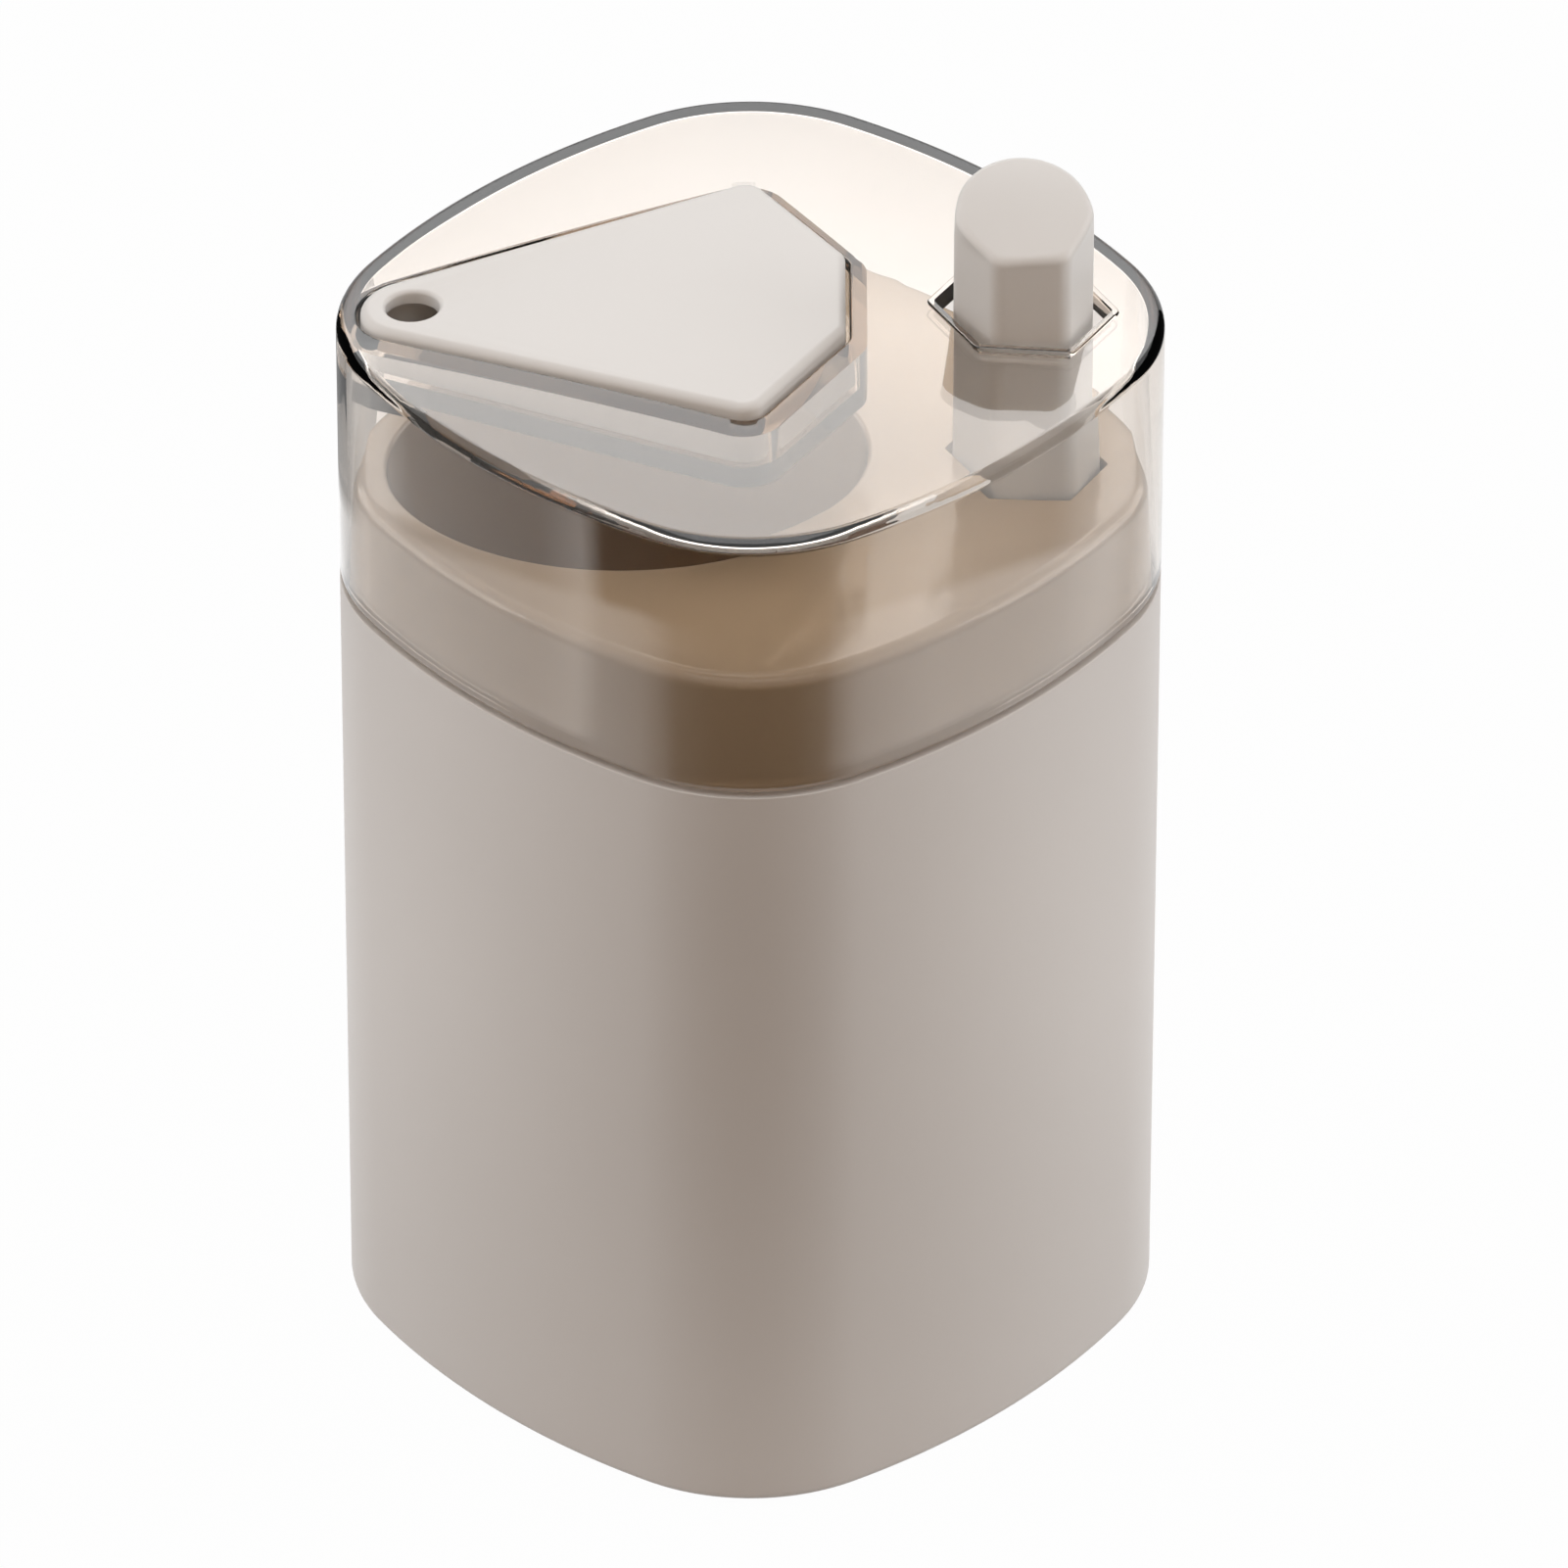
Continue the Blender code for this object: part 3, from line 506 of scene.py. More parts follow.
def cutter_circles():
    """The circles that the cutter's kite outline wraps: its eye, end corners and shoulders."""
    shoulder_x = CUTTER_END_X - CUTTER_SHOULDER
    shoulder_y = CUTTER_WIDTH / 2 - CUTTER_SHOULDER_RADIUS
    end_x = CUTTER_END_X - CUTTER_END_RADIUS
    end_y = CUTTER_END_WIDTH / 2 - CUTTER_END_RADIUS
    return [
        (0, 0, CUTTER_EYE_RADIUS),
        (shoulder_x, -shoulder_y, CUTTER_SHOULDER_RADIUS),
        (end_x, -end_y, CUTTER_END_RADIUS),
        (end_x, end_y, CUTTER_END_RADIUS),
        (shoulder_x, shoulder_y, CUTTER_SHOULDER_RADIUS),
    ]


def pocket_rings():
    """Rings of the space that the cutter lies in, whose rim rounds over into the crowned top."""
    outline = on_tool_line([at_height(wrapped_circles(cutter_circles(), SLIDE_GAP), POCKET_FLOOR_Z)], EYE_U)
    rings = list(outline)
    rim_centre = (POCKET_RIM_ROUND, POCKET_RIM_ROUND)
    for outset, drop in arc(rim_centre, POCKET_RIM_ROUND, math.pi, 1.5 * math.pi, SMALL_FILLET_STEPS):
        grown = at_height(wrapped_circles(cutter_circles(), SLIDE_GAP + outset), 0)
        (ring,) = on_tool_line([grown], EYE_U)
        rings.append([(x, y, crown_height(x, y) - drop) for x, y, _ in ring])
    rings.append([(x, y, LID_EDGE_Z + LID_CROWN + OVERCUT) for x, y, _ in rings[-1]])
    return rings


def collar_top(x):
    """Height of the collar at x from the pestle's axis, a step above the crowned lid on the tool line."""
    share = (PESTLE_U + x) / corner_reach(LID_EDGE_RADIUS)
    return LID_EDGE_Z + LID_CROWN * (1 - share * share) + COLLAR_STEP


def collar_rings(bottom_z):
    """Rings of the low collar round the pestle's hexagonal hole, with a rounded top edge."""
    outer_radius = HEX_HOLE_RADIUS + COLLAR_WALL
    rings = [at_height(round_hexagon(COLLAR_FLATS, outer_radius), bottom_z)]
    edge_centre = (COLLAR_EDGE_RADIUS, COLLAR_EDGE_RADIUS)
    for inset, drop in arc(edge_centre, COLLAR_EDGE_RADIUS, math.pi, 1.5 * math.pi, SMALL_FILLET_STEPS):
        outline = round_hexagon(COLLAR_FLATS - 2 * inset, outer_radius - inset)
        rings.append([(x, y, collar_top(x) - drop) for x, y in outline])
    return on_tool_line(rings, PESTLE_U)


def crown_slope():
    """Slope of the crowned top at a corner of its edge."""
    return 2 * LID_CROWN / corner_reach(LID_EDGE_RADIUS)


def lid_inner_rings(radius):
    """Rings of the lid's inside, whose wall rounds over by radius into the underside of the top."""
    under_z = LID_EDGE_Z - LID_TOP
    inset = LID_WALL + radius
    fillet = arc((inset, under_z - radius), radius, math.pi, math.pi / 2 + crown_slope(), FILLET_STEPS)
    return swept([(LID_WALL, LID_BOTTOM_Z - OVERCUT)] + fillet) + crown_rings(inset, under_z)


def lid_cavity_rings():
    """Rings of the lid's inside, rounded less towards the two corners on the tool line."""
    places = [abs(x + y) / math.sqrt(2) for x, y in bowed_square(LID_WALL)]
    shares = np.interp(places, (LID_CORNER_START, LID_CORNER_FULL), (0, 1))
    pairs = zip(lid_inner_rings(LID_INNER_RADIUS), lid_inner_rings(LID_CORNER_INNER_RADIUS))
    return [
        [tuple(Vector(a).lerp(Vector(b), share)) for a, b, share in zip(soft, tight, shares)]
        for soft, tight in pairs
    ]


def smooth_lid():
    """The crowned lid, with a pocket for the cutter and a low collar round the pestle's hole."""
    fillet_centre = (LID_EDGE_RADIUS, LID_EDGE_Z - LID_EDGE_RADIUS)
    fillet = arc(fillet_centre, LID_EDGE_RADIUS, math.pi, math.pi / 2 + crown_slope(), FILLET_STEPS)
    foot_z = LID_BOTTOM_Z + LID_FOOT_ROUND
    foot_centre = (LID_FOOT_ROUND, foot_z)
    foot = arc(foot_centre, LID_FOOT_ROUND, 1.5 * math.pi, math.pi, SMALL_FILLET_STEPS)
    outside = swept(foot + fillet) + crown_rings(LID_EDGE_RADIUS, LID_EDGE_Z)
    lid = solid("lid_shell", outside)

    cavity = solid("lid_cavity", lid_cavity_rings())

    top_z = LID_EDGE_Z + LID_CROWN + OVERCUT
    under_z = LID_EDGE_Z - LID_TOP
    collar = solid("collar", collar_rings(under_z))
    hole = round_hexagon(COLLAR_HOLE, HEX_HOLE_RADIUS)
    hole_rings = [at_height(hole, z) for z in (under_z - OVERCUT, top_z)]
    collar_space = solid("collar_space", on_tool_line(hole_rings, PESTLE_U))

    pocket_outside = wrapped_circles(cutter_circles(), SLIDE_GAP + POCKET_WALL)
    body_heights = (POCKET_FLOOR_Z - POCKET_FLOOR, top_z)
    body_rings = [at_height(pocket_outside, z) for z in body_heights]
    pocket_body = solid("pocket_body", on_tool_line(body_rings, EYE_U))
    pocket_space = solid("pocket_space", pocket_rings())

    combine(cavity, "DIFFERENCE", pocket_body)
    combine(lid, "UNION", collar)
    combine(lid, "DIFFERENCE", cavity, collar_space, pocket_space)
    return settle(lid, cavity, collar, collar_space, pocket_body, pocket_space)


def cutter_top(x):
    """Height of the cutter's sloping top at x from its eye."""
    share = (x + CUTTER_EYE_RADIUS) / (CUTTER_END_X + CUTTER_EYE_RADIUS)
    thickness = CUTTER_TIP_THICKNESS + share * (CUTTER_END_THICKNESS - CUTTER_TIP_THICKNESS)
    return CUTTER_BOTTOM_Z + thickness


def eye_rings():
    """Rings of the cutter's eye, which flare where it meets the sloping top."""
    low_z = CUTTER_BOTTOM_Z - OVERCUT
    rings = [at_height(circle(CUTTER_HOLE / 2, HOLE_STEPS), low_z)]
    flare_centre = (CUTTER_HOLE_ROUND, CUTTER_HOLE_ROUND)
    for outset, drop in arc(flare_centre, CUTTER_HOLE_ROUND, math.pi, 1.5 * math.pi, EYE_FLARE_STEPS):
        ring = circle(CUTTER_HOLE / 2 + outset, HOLE_STEPS)
        rings.append([(x, y, cutter_top(x) - drop) for x, y in ring])
    rings.append([(x, y, z + OVERCUT) for x, y, z in rings[-1]])
    return on_tool_line(rings, EYE_U)


def screw_places():
    """Places of the two holder screws from the cutter's eye, read from their nodes."""
    return [sum(span_along(f"holder_screw_{number}")) / 2 - EYE_U for number in (1, 2)]


def smooth_cutter():
    """The kite-shaped grip of the cutter, hollow underneath, with an eye at its tip."""
    rings = [at_height(wrapped_circles(cutter_circles(), 0), CUTTER_BOTTOM_Z)]
    edge_centre = (CUTTER_EDGE_RADIUS, CUTTER_EDGE_RADIUS)
    for inset, drop in arc(edge_centre, CUTTER_EDGE_RADIUS, math.pi, 1.5 * math.pi, FILLET_STEPS):
        outline = wrapped_circles(cutter_circles(), -inset)
        rings.append([(x, y, cutter_top(x) - drop) for x, y in outline])
    cover = solid("cutter_grip", on_tool_line(rings, EYE_U))

    eye = solid("cutter_eye", eye_rings())
    low_z = CUTTER_BOTTOM_Z - OVERCUT
    hollow_outline = wrapped_circles(cutter_circles(), -CUTTER_WALL)
    hollow_rings = [at_height(hollow_outline, z) for z in (low_z, CUTTER_ROOF_Z)]
    hollow = solid("cutter_hollow", on_tool_line(hollow_rings, EYE_U))
    bores = []
    for x in screw_places():
        bore = circle(SCREW_RADIUS + SEAT_GAP, HOLE_STEPS // 2)
        bore_rings = [at_height(bore, z) for z in (low_z, CUTTER_ROOF_Z + SCREW_BITE + SEAT_GAP)]
        bores.append(solid("screw_bore", on_tool_line(bore_rings, EYE_U + x)))
    combine(cover, "DIFFERENCE", eye, hollow, *bores)
    return settle(cover, eye, hollow, *bores)


def pestle_outline(inset):
    """The pestle's hexagon with round corners, moved in by inset."""
    return round_hexagon(PESTLE_FLATS - 2 * inset, PESTLE_CORNER_RADIUS - inset)


def pestle_top(y, share):
    """Height of the pestle's slanted, crowned top at y, and at that share of the way to its edge."""
    return PESTLE_TOP_Z + y * math.tan(PESTLE_SLANT) + PESTLE_CROWN * (1 - share * share)


def pestle_side(point, z):
    """The point of the pestle's outline at height z: six-sided below, turning round towards the top."""
    share = min(max((z - PESTLE_ROUND_Z) / PESTLE_ROUND_RISE, 0), 1)
    roundness = share * share * (3 - 2 * share)
    return point.lerp(point.normalized() * PESTLE_TOP_RADIUS, roundness)


def pestle_edge(point, inset, drop):
    """The outline's point carried up to the slanted top's edge, then moved in by inset and down by drop."""
    place = point
    for _ in range(EDGE_PASSES):
        side = pestle_side(point, pestle_top(place.y, 1) - drop)
        place = side - side.normalized() * inset
    return place.to_3d() + Vector((0, 0, pestle_top(place.y, 1) - drop))


def pestle_rings(bottom_z):
    """Rings of the pestle's outside: its six sides, the round end of them, the top's edge and its crown."""
    outline = [Vector(point) for point in pestle_outline(0)]
    foot = [pestle_edge(point, 0, PESTLE_EDGE_RADIUS) for point in outline]
    rings = [at_height(outline, bottom_z)]
    for i in range(ROUND_STEPS):
        heights = [PESTLE_ROUND_Z + (end.z - PESTLE_ROUND_Z) * i / ROUND_STEPS for end in foot]
        rings.append([(*pestle_side(point, z), z) for point, z in zip(outline, heights)])
    edge_centre = (PESTLE_EDGE_RADIUS, PESTLE_EDGE_RADIUS)
    for inset, drop in arc(edge_centre, PESTLE_EDGE_RADIUS, math.pi, 1.5 * math.pi, FILLET_STEPS):
        rings.append([pestle_edge(point, inset, drop) for point in outline])
    edge = [(x, y) for x, y, _ in rings[-1]]
    for i in range(1, CROWN_STEPS + 1):
        share = 1 - i / (CROWN_STEPS + 1)
        rings.append([(x, y, pestle_top(y, share)) for x, y in scaled(edge, share)])
    return rings


def twisted(name, rings):
    """A solid of the pestle, turned within its loose fit in the socket."""
    return solid(name, on_tool_line(rings, PESTLE_U, PESTLE_TWIST))


def smooth_pestle():
    """The hexagonal tube with a slanted top, open below for the head's spigot."""
    bottom_z = bottom_of("pestle_handle")
    handle = twisted("pestle_grip", pestle_rings(bottom_z))
    inside = round_hexagon(PESTLE_FLATS - 2 * PESTLE_WALL, SPIGOT_CORNER_RADIUS)
    heights = (bottom_z - OVERCUT, PESTLE_FRONT_Z - PESTLE_ROOF)
    hollow = twisted("pestle_hollow", [at_height(inside, z) for z in heights])
    combine(handle, "DIFFERENCE", hollow)
    return settle(handle, hollow)


def smooth_head():
    """The crushing plug, with grooves that cross its face and a spigot that fits the handle."""
    edge_centre = (HEAD_EDGE_RADIUS, PESTLE_BOTTOM_Z + HEAD_EDGE_RADIUS)
    lower_edge = arc(edge_centre, HEAD_EDGE_RADIUS, 1.5 * math.pi, math.pi, FILLET_STEPS)
    shoulder_z = bottom_of("pestle_handle") - SEAT_GAP
    rings = [at_height(pestle_outline(inset), z) for inset, z in lower_edge + [(0, shoulder_z)]]
    spigot = round_hexagon(PESTLE_FLATS - 2 * PESTLE_WALL - 2 * SEAT_GAP, SPIGOT_CORNER_RADIUS)
    rings += [at_height(spigot, z) for z in (shoulder_z, top_of("pestle_head"))]
    head = twisted("pestle_plug", rings)
    open_half = GROOVE_DEPTH + OVERCUT
    open_z = PESTLE_BOTTOM_Z - OVERCUT
    section = [(-open_half, open_z), (open_half, open_z), (0, PESTLE_BOTTOM_Z + GROOVE_DEPTH)]
    grooves = []
    for i in range(GROOVE_COUNT):
        turn = Matrix.Rotation(math.pi * i / GROOVE_COUNT, 3, "Z")
        ends = [[Vector((x, y, z)) for y, z in section] for x in (-PESTLE_FLATS, PESTLE_FLATS)]
        grooves.append(twisted(f"head_groove_{i}", [[tuple(turn @ point) for point in end] for end in ends]))
    combine(head, "DIFFERENCE", *grooves)
    return settle(head, *grooves)


def new_material(name):
    material = bpy.data.materials.new(name)
    material.use_nodes = True
    return material, material.node_tree, material.node_tree.nodes["Principled BSDF"]


def noise(tree, scale, detail=2.0, stretch=(1, 1, 1)):
    """A noise pattern in the frame's metres, as a 0 to 1 value."""
    coordinates = tree.nodes.new("ShaderNodeTexCoord")
    mapping = tree.nodes.new("ShaderNodeMapping")
    mapping.inputs["Scale"].default_value = stretch
    tree.links.new(coordinates.outputs["Object"], mapping.inputs["Vector"])
    pattern = tree.nodes.new("ShaderNodeTexNoise")
    pattern.inputs["Scale"].default_value = scale
    pattern.inputs["Detail"].default_value = detail
    tree.links.new(mapping.outputs["Vector"], pattern.inputs["Vector"])
    return pattern.outputs["Fac"]


def ramp(tree, value, low, high):
    """Spreads a 0 to 1 pattern between two numbers."""
    spread = tree.nodes.new("ShaderNodeMapRange")
    spread.inputs["To Min"].default_value = low
    spread.inputs["To Max"].default_value = high
    tree.links.new(value, spread.inputs["Value"])
    return spread.outputs["Result"]


def tint(tree, value, low, high):
    """Blends two colours by a 0 to 1 pattern."""
    mix = tree.nodes.new("ShaderNodeMix")
    mix.data_type = "RGBA"
    mix.inputs["A"].default_value = (*low, 1)
    mix.inputs["B"].default_value = (*high, 1)
    tree.links.new(value, mix.inputs["Factor"])
    return mix.outputs["Result"]


def bump(tree, value, depth, under=None):
    """A bump of that depth in metres, over another bump if one is given."""
    node = tree.nodes.new("ShaderNodeBump")
    node.inputs["Distance"].default_value = depth
    tree.links.new(value, node.inputs["Height"])
    if under:
        tree.links.new(under, node.inputs["Normal"])
    return node.outputs["Normal"]


def shade(colour, factor):
    return tuple(part * factor for part in colour)


def moulded_plastic(name, colour, roughness, grain_scale, grain_depth, wave_depth=0.0):
    """Opaque plastic: faint clouding of the colour, uneven gloss and the grain of its mould."""
    material, tree, shader = new_material(name)
    clouds = noise(tree, 45)
    grain = noise(tree, grain_scale, 3)
    clouded = tint(tree, clouds, shade(colour, 0.975), shade(colour, 1.025))
    tree.links.new(clouded, shader.inputs["Base Color"])
    tree.links.new(ramp(tree, grain, roughness - 0.06, roughness + 0.06), shader.inputs["Roughness"])
    normal = bump(tree, grain, grain_depth)
    if wave_depth:
        normal = bump(tree, noise(tree, 90, 1), wave_depth, normal)
    tree.links.new(normal, shader.inputs["Normal"])
    return material


def clear_amber():
    """Clear plastic whose faint amber tint comes from its thickness, with faint flow waves."""
    material, tree, shader = new_material("clear_amber")
    shader.inputs["Base Color"].default_value = (1, 1, 1, 1)
    shader.inputs["Transmission Weight"].default_value = 1
    shader.inputs["IOR"].default_value = AMBER_IOR
    shader.inputs["Roughness"].default_value = 0.0
    tree.links.new(bump(tree, noise(tree, 60, 1), AMBER_WAVE_DEPTH), shader.inputs["Normal"])
    absorption = tree.nodes.new("ShaderNodeVolumeAbsorption")
    absorption.inputs["Color"].default_value = (*AMBER, 1)
    absorption.inputs["Density"].default_value = AMBER_DENSITY
    output = tree.nodes["Material Output"]
    tree.links.new(absorption.outputs["Volume"], output.inputs["Volume"])
    return material


def brushed_steel(name, colour, roughness):
    """Steel with fine level grinding lines."""
    material, tree, shader = new_material(name)
    lines = noise(tree, 900, 2, (0.08, 0.08, 1))
    tree.links.new(tint(tree, lines, shade(colour, 0.9), shade(colour, 1.05)), shader.inputs["Base Color"])
    tree.links.new(ramp(tree, lines, roughness - 0.08, roughness + 0.08), shader.inputs["Roughness"])
    tree.links.new(bump(tree, lines, 0.000004), shader.inputs["Normal"])
    shader.inputs["Metallic"].default_value = 1
    return material


def dress(obj, material):
    obj.data.materials.clear()
    obj.data.materials.append(material)


def stand_for(obj, node, body, material):
    """The smooth piece is shown in place of the CAD node and moves with its body."""
    dress(obj, material)
    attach(obj, body)
    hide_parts(node)


def direction(azimuth, elevation):
    """Unit vector towards a place seen from the object; azimuth 0 is -Y and 90 is +X."""
    a = math.radians(azimuth)
    e = math.radians(elevation)
    return Vector((math.sin(a) * math.cos(e), -math.cos(a) * math.cos(e), math.sin(e)))


def photo_camera():
    camera = bpy.data.objects.new("photo_camera", bpy.data.cameras.new("photo_camera"))
    camera.data.sensor_width = SENSOR_WIDTH
    camera.data.lens = FOCAL_LENGTH
    camera.data.shift_x, camera.data.shift_y = VIEW_SHIFT
    back = direction(VIEW_AZIMUTH, VIEW_ELEVATION)
    camera.location = VIEW_TARGET + back * VIEW_DISTANCE
    camera.rotation_euler = back.to_track_quat("Z", "Y").to_euler()
    bpy.context.scene.collection.objects.link(camera)
    bpy.context.scene.camera = camera


def softbox(name, azimuth, elevation, distance, width, height, radiance):
    """A rectangular soft light that faces the object and that the camera doesn't see."""
    light = bpy.data.lights.new(name, "AREA")
    light.shape = "RECTANGLE"
    light.size = width
    light.size_y = height
    light.energy = radiance * math.pi * width * height
    lamp = bpy.data.objects.new(name, light)
    towards = direction(azimuth, elevation)
    lamp.location = VIEW_TARGET + towards * distance
    lamp.rotation_euler = towards.to_track_quat("Z", "Y").to_euler()
    lamp.visible_camera = False
    bpy.context.scene.collection.objects.link(lamp)
    return lamp


def seen_rays(tree):
    """1 for rays from the camera, and for those that a glossy or clear surface sends on."""
    path = tree.nodes.new("ShaderNodeLightPath")
    total = path.outputs["Is Camera Ray"]
    for kind in ("Is Glossy Ray", "Is Transmission Ray"):
        add = tree.nodes.new("ShaderNodeMath")
        add.operation = "MAXIMUM"
        tree.links.new(total, add.inputs[0])
        tree.links.new(path.outputs[kind], add.inputs[1])
        total = add.outputs[0]
    return total


def studio_world():
    """White where it is seen, and a dim warm fill where it lights the object."""
    world = bpy.data.worlds.new("studio")
    bpy.context.scene.world = world
    world.use_nodes = True
    tree = world.node_tree
    fill = tree.nodes["Background"]
    fill.inputs["Color"].default_value = (*FILL_COLOUR, 1)
    fill.inputs["Strength"].default_value = FILL_STRENGTH
    white = tree.nodes.new("ShaderNodeBackground")
    white.inputs["Color"].default_value = (1, 1, 1, 1)
    white.inputs["Strength"].default_value = 1
    mix = tree.nodes.new("ShaderNodeMixShader")
    tree.links.new(seen_rays(tree), mix.inputs["Fac"])
    tree.links.new(fill.outputs["Background"], mix.inputs[1])
    tree.links.new(white.outputs["Background"], mix.inputs[2])
    tree.links.new(mix.outputs["Shader"], tree.nodes["World Output"].inputs["Surface"])


def floor_material():
    """White where it is seen, less a faint shadow, and a pale matte surface to the lamps."""
    material, tree, shader = new_material("floor")
    shader.inputs["Base Color"].default_value = (*FLOOR_COLOUR, 1)
    shader.inputs["Roughness"].default_value = 0.9
    glow = tree.nodes.new("ShaderNodeEmission")
    glow.inputs["Strength"].default_value = 1
    share = tree.nodes.new("ShaderNodeMath")
    share.operation = "MULTIPLY"
    share.inputs[1].default_value = FLOOR_GLOW_SHARE
    tree.links.new(seen_rays(tree), share.inputs[0])
    mix = tree.nodes.new("ShaderNodeMixShader")
    tree.links.new(share.outputs[0], mix.inputs["Fac"])
    tree.links.new(shader.outputs["BSDF"], mix.inputs[1])
    tree.links.new(glow.outputs["Emission"], mix.inputs[2])
    tree.links.new(mix.outputs["Shader"], tree.nodes["Material Output"].inputs["Surface"])
    return material


def stage_mesh(name, points, faces, material):
    """A piece of the studio, which isn't part of the object."""
    mesh = bpy.data.meshes.new(name)
    mesh.from_pydata(points, [], faces)
    mesh.materials.append(material)
    obj = bpy.data.objects.new(name, mesh)
    bpy.context.scene.collection.objects.link(obj)
    return obj


def stage_piece(name, points, material):
    """A flat polygon of the studio."""
    return stage_mesh(name, points, [list(range(len(points)))], material)


def floor():
    half = FLOOR_HALF
    corners = [(-half, -half), (half, -half), (half, half), (-half, half)]
    stage_piece("floor", at_height(corners, FLOOR_Z), floor_material())


def plain_glow(name, radiance):
    material, tree, _ = new_material(name)
    emitter = tree.nodes.new("ShaderNodeEmission")
    emitter.inputs["Strength"].default_value = radiance
    tree.links.new(emitter.outputs["Emission"], tree.nodes["Material Output"].inputs["Surface"])
    return material


def rising_glow(name, low_z, high_z, low_radiance, high_radiance):
    """A glow whose radiance changes with height."""
    material = plain_glow(name, 0)
    tree = material.node_tree
    geometry = tree.nodes.new("ShaderNodeNewGeometry")
    parts = tree.nodes.new("ShaderNodeSeparateXYZ")
    tree.links.new(geometry.outputs["Position"], parts.inputs["Vector"])
    spread = tree.nodes.new("ShaderNodeMapRange")
    spread.inputs["From Min"].default_value = low_z
    spread.inputs["From Max"].default_value = high_z
    spread.inputs["To Min"].default_value = low_radiance
    spread.inputs["To Max"].default_value = high_radiance
    tree.links.new(parts.outputs["Z"], spread.inputs["Value"])
    tree.links.new(spread.outputs["Result"], tree.nodes["Emission"].inputs["Strength"])
    return material


def mirrored_only(card):
    """A card that shows in glossy and clear surfaces, and that neither lights nor shades the object."""
    card.visible_camera = False
    card.visible_diffuse = False
    card.visible_shadow = False
    return card


def strip_faces(columns, rows):
    """Faces of a grid whose points are listed column by column."""
    corners = [i * rows + k for i in range(columns - 1) for k in range(rows - 1)]
    return [(c, c + 1, c + rows + 1, c + rows) for c in corners]


def polar_grid(angles, reaches, height):
    """Points and faces of a sector of the floor round the front corner, by angles off the camera's side."""
    apex = direction(VIEW_AZIMUTH, 0) * math.sqrt(2) * corner_centre()
    points = []
    for angle in angles:
        ray = direction(VIEW_AZIMUTH + angle, 0)
        points += [tuple(apex + ray * reach + Vector((0, 0, height))) for reach in reaches]
    return points, strip_faces(len(angles), len(reaches))


def front_card():
    """A dark card on the floor in front of the object, outside the picture."""
    dark, _, shader = new_material("front_card")
    shader.inputs["Base Color"].default_value = (*FRONT_CARD_COLOUR, 1)
    shader.inputs["Roughness"].default_value = 0.8
    angles = range(-FRONT_CARD_SPREAD, FRONT_CARD_SPREAD + 1, FRONT_CARD_STEP)
    points, faces = polar_grid(angles, (CARD_NEAR, CARD_FAR), FRONT_CARD_Z)
    card = stage_mesh("front_card", points, faces, dark)
    card.visible_camera = False


def patterned_glow(name):
    """A glow whose radiance is the mesh's own "radiance" attribute."""
    material = plain_glow(name, 0)
    tree = material.node_tree
    pattern = tree.nodes.new("ShaderNodeAttribute")
    pattern.attribute_name = "radiance"
    tree.links.new(pattern.outputs["Fac"], tree.nodes["Emission"].inputs["Strength"])
    return material


def floor_glow(name, side, keys):
    """What the lid's wall mirrors on one side, from keys of angle, near radiance and far radiance."""
    key_angles, near, far = zip(*keys)
    angles = list(range(0, key_angles[-1] + 1, GLOW_STEP))
    reaches = (CARD_NEAR, GLOW_NEAR_END, GLOW_FAR_START, CARD_FAR)
    points, faces = polar_grid([side * a for a in angles], reaches, GLOW_Z)
    card = mirrored_only(stage_mesh(name, points, faces, patterned_glow(name)))
    radiances = []
    for angle in angles:
        near_here = np.interp(angle, key_angles, near)
        far_here = np.interp(angle, key_angles, far)
        radiances += [near_here, near_here, far_here, far_here]
    attribute = card.data.attributes.new("radiance", "FLOAT", "POINT")
    attribute.data.foreach_set("value", radiances)


def floor_cards():
    """Dark in front of the object and bright beside it, as its clear walls mirror the floor."""
    front_card()
    floor_glow("left_glow", -1, [
        (0, 0.02, 0.02), (20, 0.05, 0.02), (40, 0.3, 0.03), (48, 0.85, 0.05),
        (66, 1.8, 0.1), (70, 1.9, 1.4), (78, 1.75, 0.8), (104, 1.65, 0.9),
        (111, 1.5, 1.5), (125, 1.15, 0.8), (135, 1.2, 0.45), (165, 1.1, 0.35),
    ])
    floor_glow("right_glow", 1, [
        (0, 0.02, 0.02), (24, 0.05, 0.02), (40, 0.25, 0.2), (48, 0.8, 0.5),
        (64, 1.85, 0.85), (72, 2.1, 1.15), (96, 2.05, 0.65), (104, 2.1, 1.1),
        (111, 1.9, 1.4), (118, 1.17, 1.03), (165, 0.78, 0.9),
    ])


def horizon(name, angles, height, radiance):
    """The room beyond the table between two angles off the camera's side: its floor and its wall."""
    start, end = angles
    loops = [(CARD_FAR, HORIZON_Z), (HORIZON_DISTANCE, HORIZON_Z), (HORIZON_DISTANCE, height)]
    points = []
    for i in range(HORIZON_STEPS + 1):
        ray = direction(VIEW_AZIMUTH + start + (end - start) * i / HORIZON_STEPS, 0)
        points += [(ray.x * radius, ray.y * radius, z) for radius, z in loops]
    faces = strip_faces(HORIZON_STEPS + 1, len(loops))
    mirrored_only(stage_mesh(name, points, faces, plain_glow(name, radiance)))


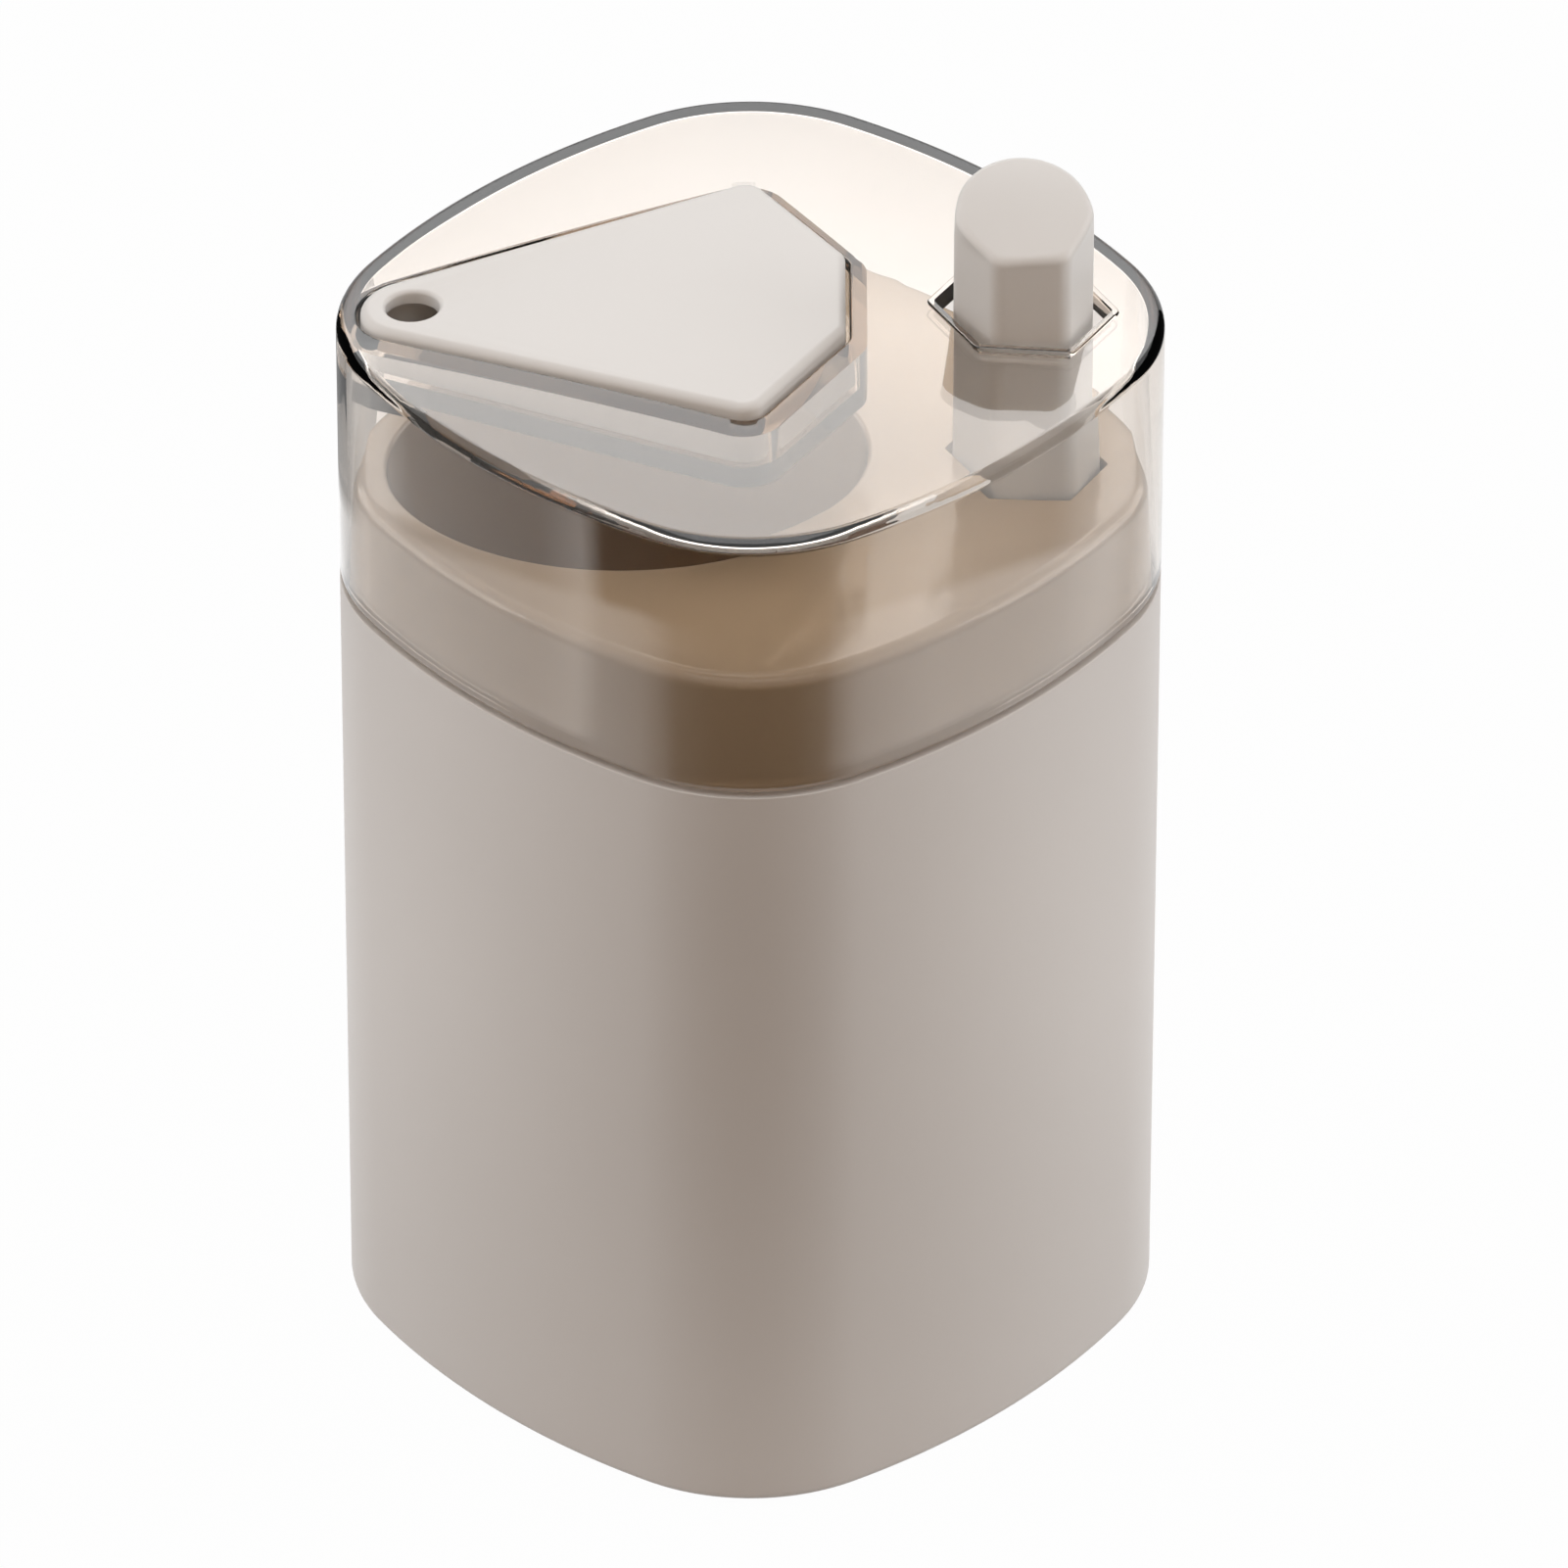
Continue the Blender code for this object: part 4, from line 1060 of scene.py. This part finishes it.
def back_card():
    """The bright panel behind the object that the lid's top mirrors."""
    distance = 1.2
    half_width = 0.6
    low_z = 0.45
    high_z = 1.5
    back = direction(VIEW_AZIMUTH + 180, 0) * distance
    aside = direction(VIEW_AZIMUTH + 90, 0) * half_width
    feet = [back - aside, back + aside]
    corners = [(foot.x, foot.y, low_z) for foot in feet]
    corners += [(foot.x, foot.y, high_z) for foot in reversed(feet)]
    glow = rising_glow("back_card", low_z=0.55, high_z=0.95, low_radiance=1.75, high_radiance=3.5)
    mirrored_only(stage_piece("back_card", corners, glow))


def studio():
    studio_world()
    floor()
    floor_cards()
    horizon("front_horizon", (-85, 85), height=0.45, radiance=0.03)
    horizon("left_horizon", (-150, -85), height=1.0, radiance=0.02)
    horizon("right_horizon", (85, 150), height=1.0, radiance=0.02)
    horizon("back_horizon", (150, 210), height=0.45, radiance=0.75)
    back_card()
    softbox("top_softbox", VIEW_AZIMUTH, elevation=78, distance=1.2, width=1.0, height=1.0, radiance=1.9)
    side = {"elevation": 18, "distance": 0.9, "width": 0.9, "height": 0.5}
    left = softbox("left_softbox", VIEW_AZIMUTH - 106, radiance=3.25, **side)
    right = softbox("right_softbox", VIEW_AZIMUTH + 106, radiance=3.75, **side)
    front_size = {"width": 1.2, "height": 1.2}
    front = softbox("front_softbox", VIEW_AZIMUTH, elevation=25, distance=1.3, radiance=0.53, **front_size)
    front.data.color = FRONT_LAMP_COLOUR
    for lamp in (left, right, front):
        lamp.visible_glossy = False


def dress_object():
    matte_white = moulded_plastic(
        "matte_white", MATTE_WHITE, roughness=0.5, grain_scale=3200, grain_depth=0.000006)
    gloss_tan = moulded_plastic(
        "gloss_tan", GLOSS_TAN, roughness=0.14, grain_scale=1500, grain_depth=0.0000008, wave_depth=0.000015)
    satin_white = moulded_plastic(
        "satin_white", SATIN_WHITE, roughness=0.4, grain_scale=2600, grain_depth=0.000002)
    blade_steel = brushed_steel("blade_steel", BLADE_STEEL, roughness=0.25)
    screw_steel = brushed_steel("screw_steel", SCREW_STEEL, roughness=0.35)

    stand_for(smooth_cup(), "storage_cup", "base", matte_white)
    stand_for(smooth_tray(), "mortar_tray", "tray", gloss_tan)
    stand_for(smooth_lid(), "clear_lid", "lid", clear_amber())
    stand_for(smooth_cutter(), "cutter_cover", "cutter", satin_white)
    stand_for(smooth_pestle(), "pestle_handle", "pestle", satin_white)
    stand_for(smooth_head(), "pestle_head", "pestle", satin_white)
    nodes = frame["nodes"]
    dress(nodes["blade_holder"], matte_white)
    dress(nodes["cutter_blade"], blade_steel)
    for number in (1, 2):
        dress(nodes[f"holder_screw_{number}"], screw_steel)


bpy.context.scene.view_settings.view_transform = "Standard"
dress_object()
photo_camera()
studio()
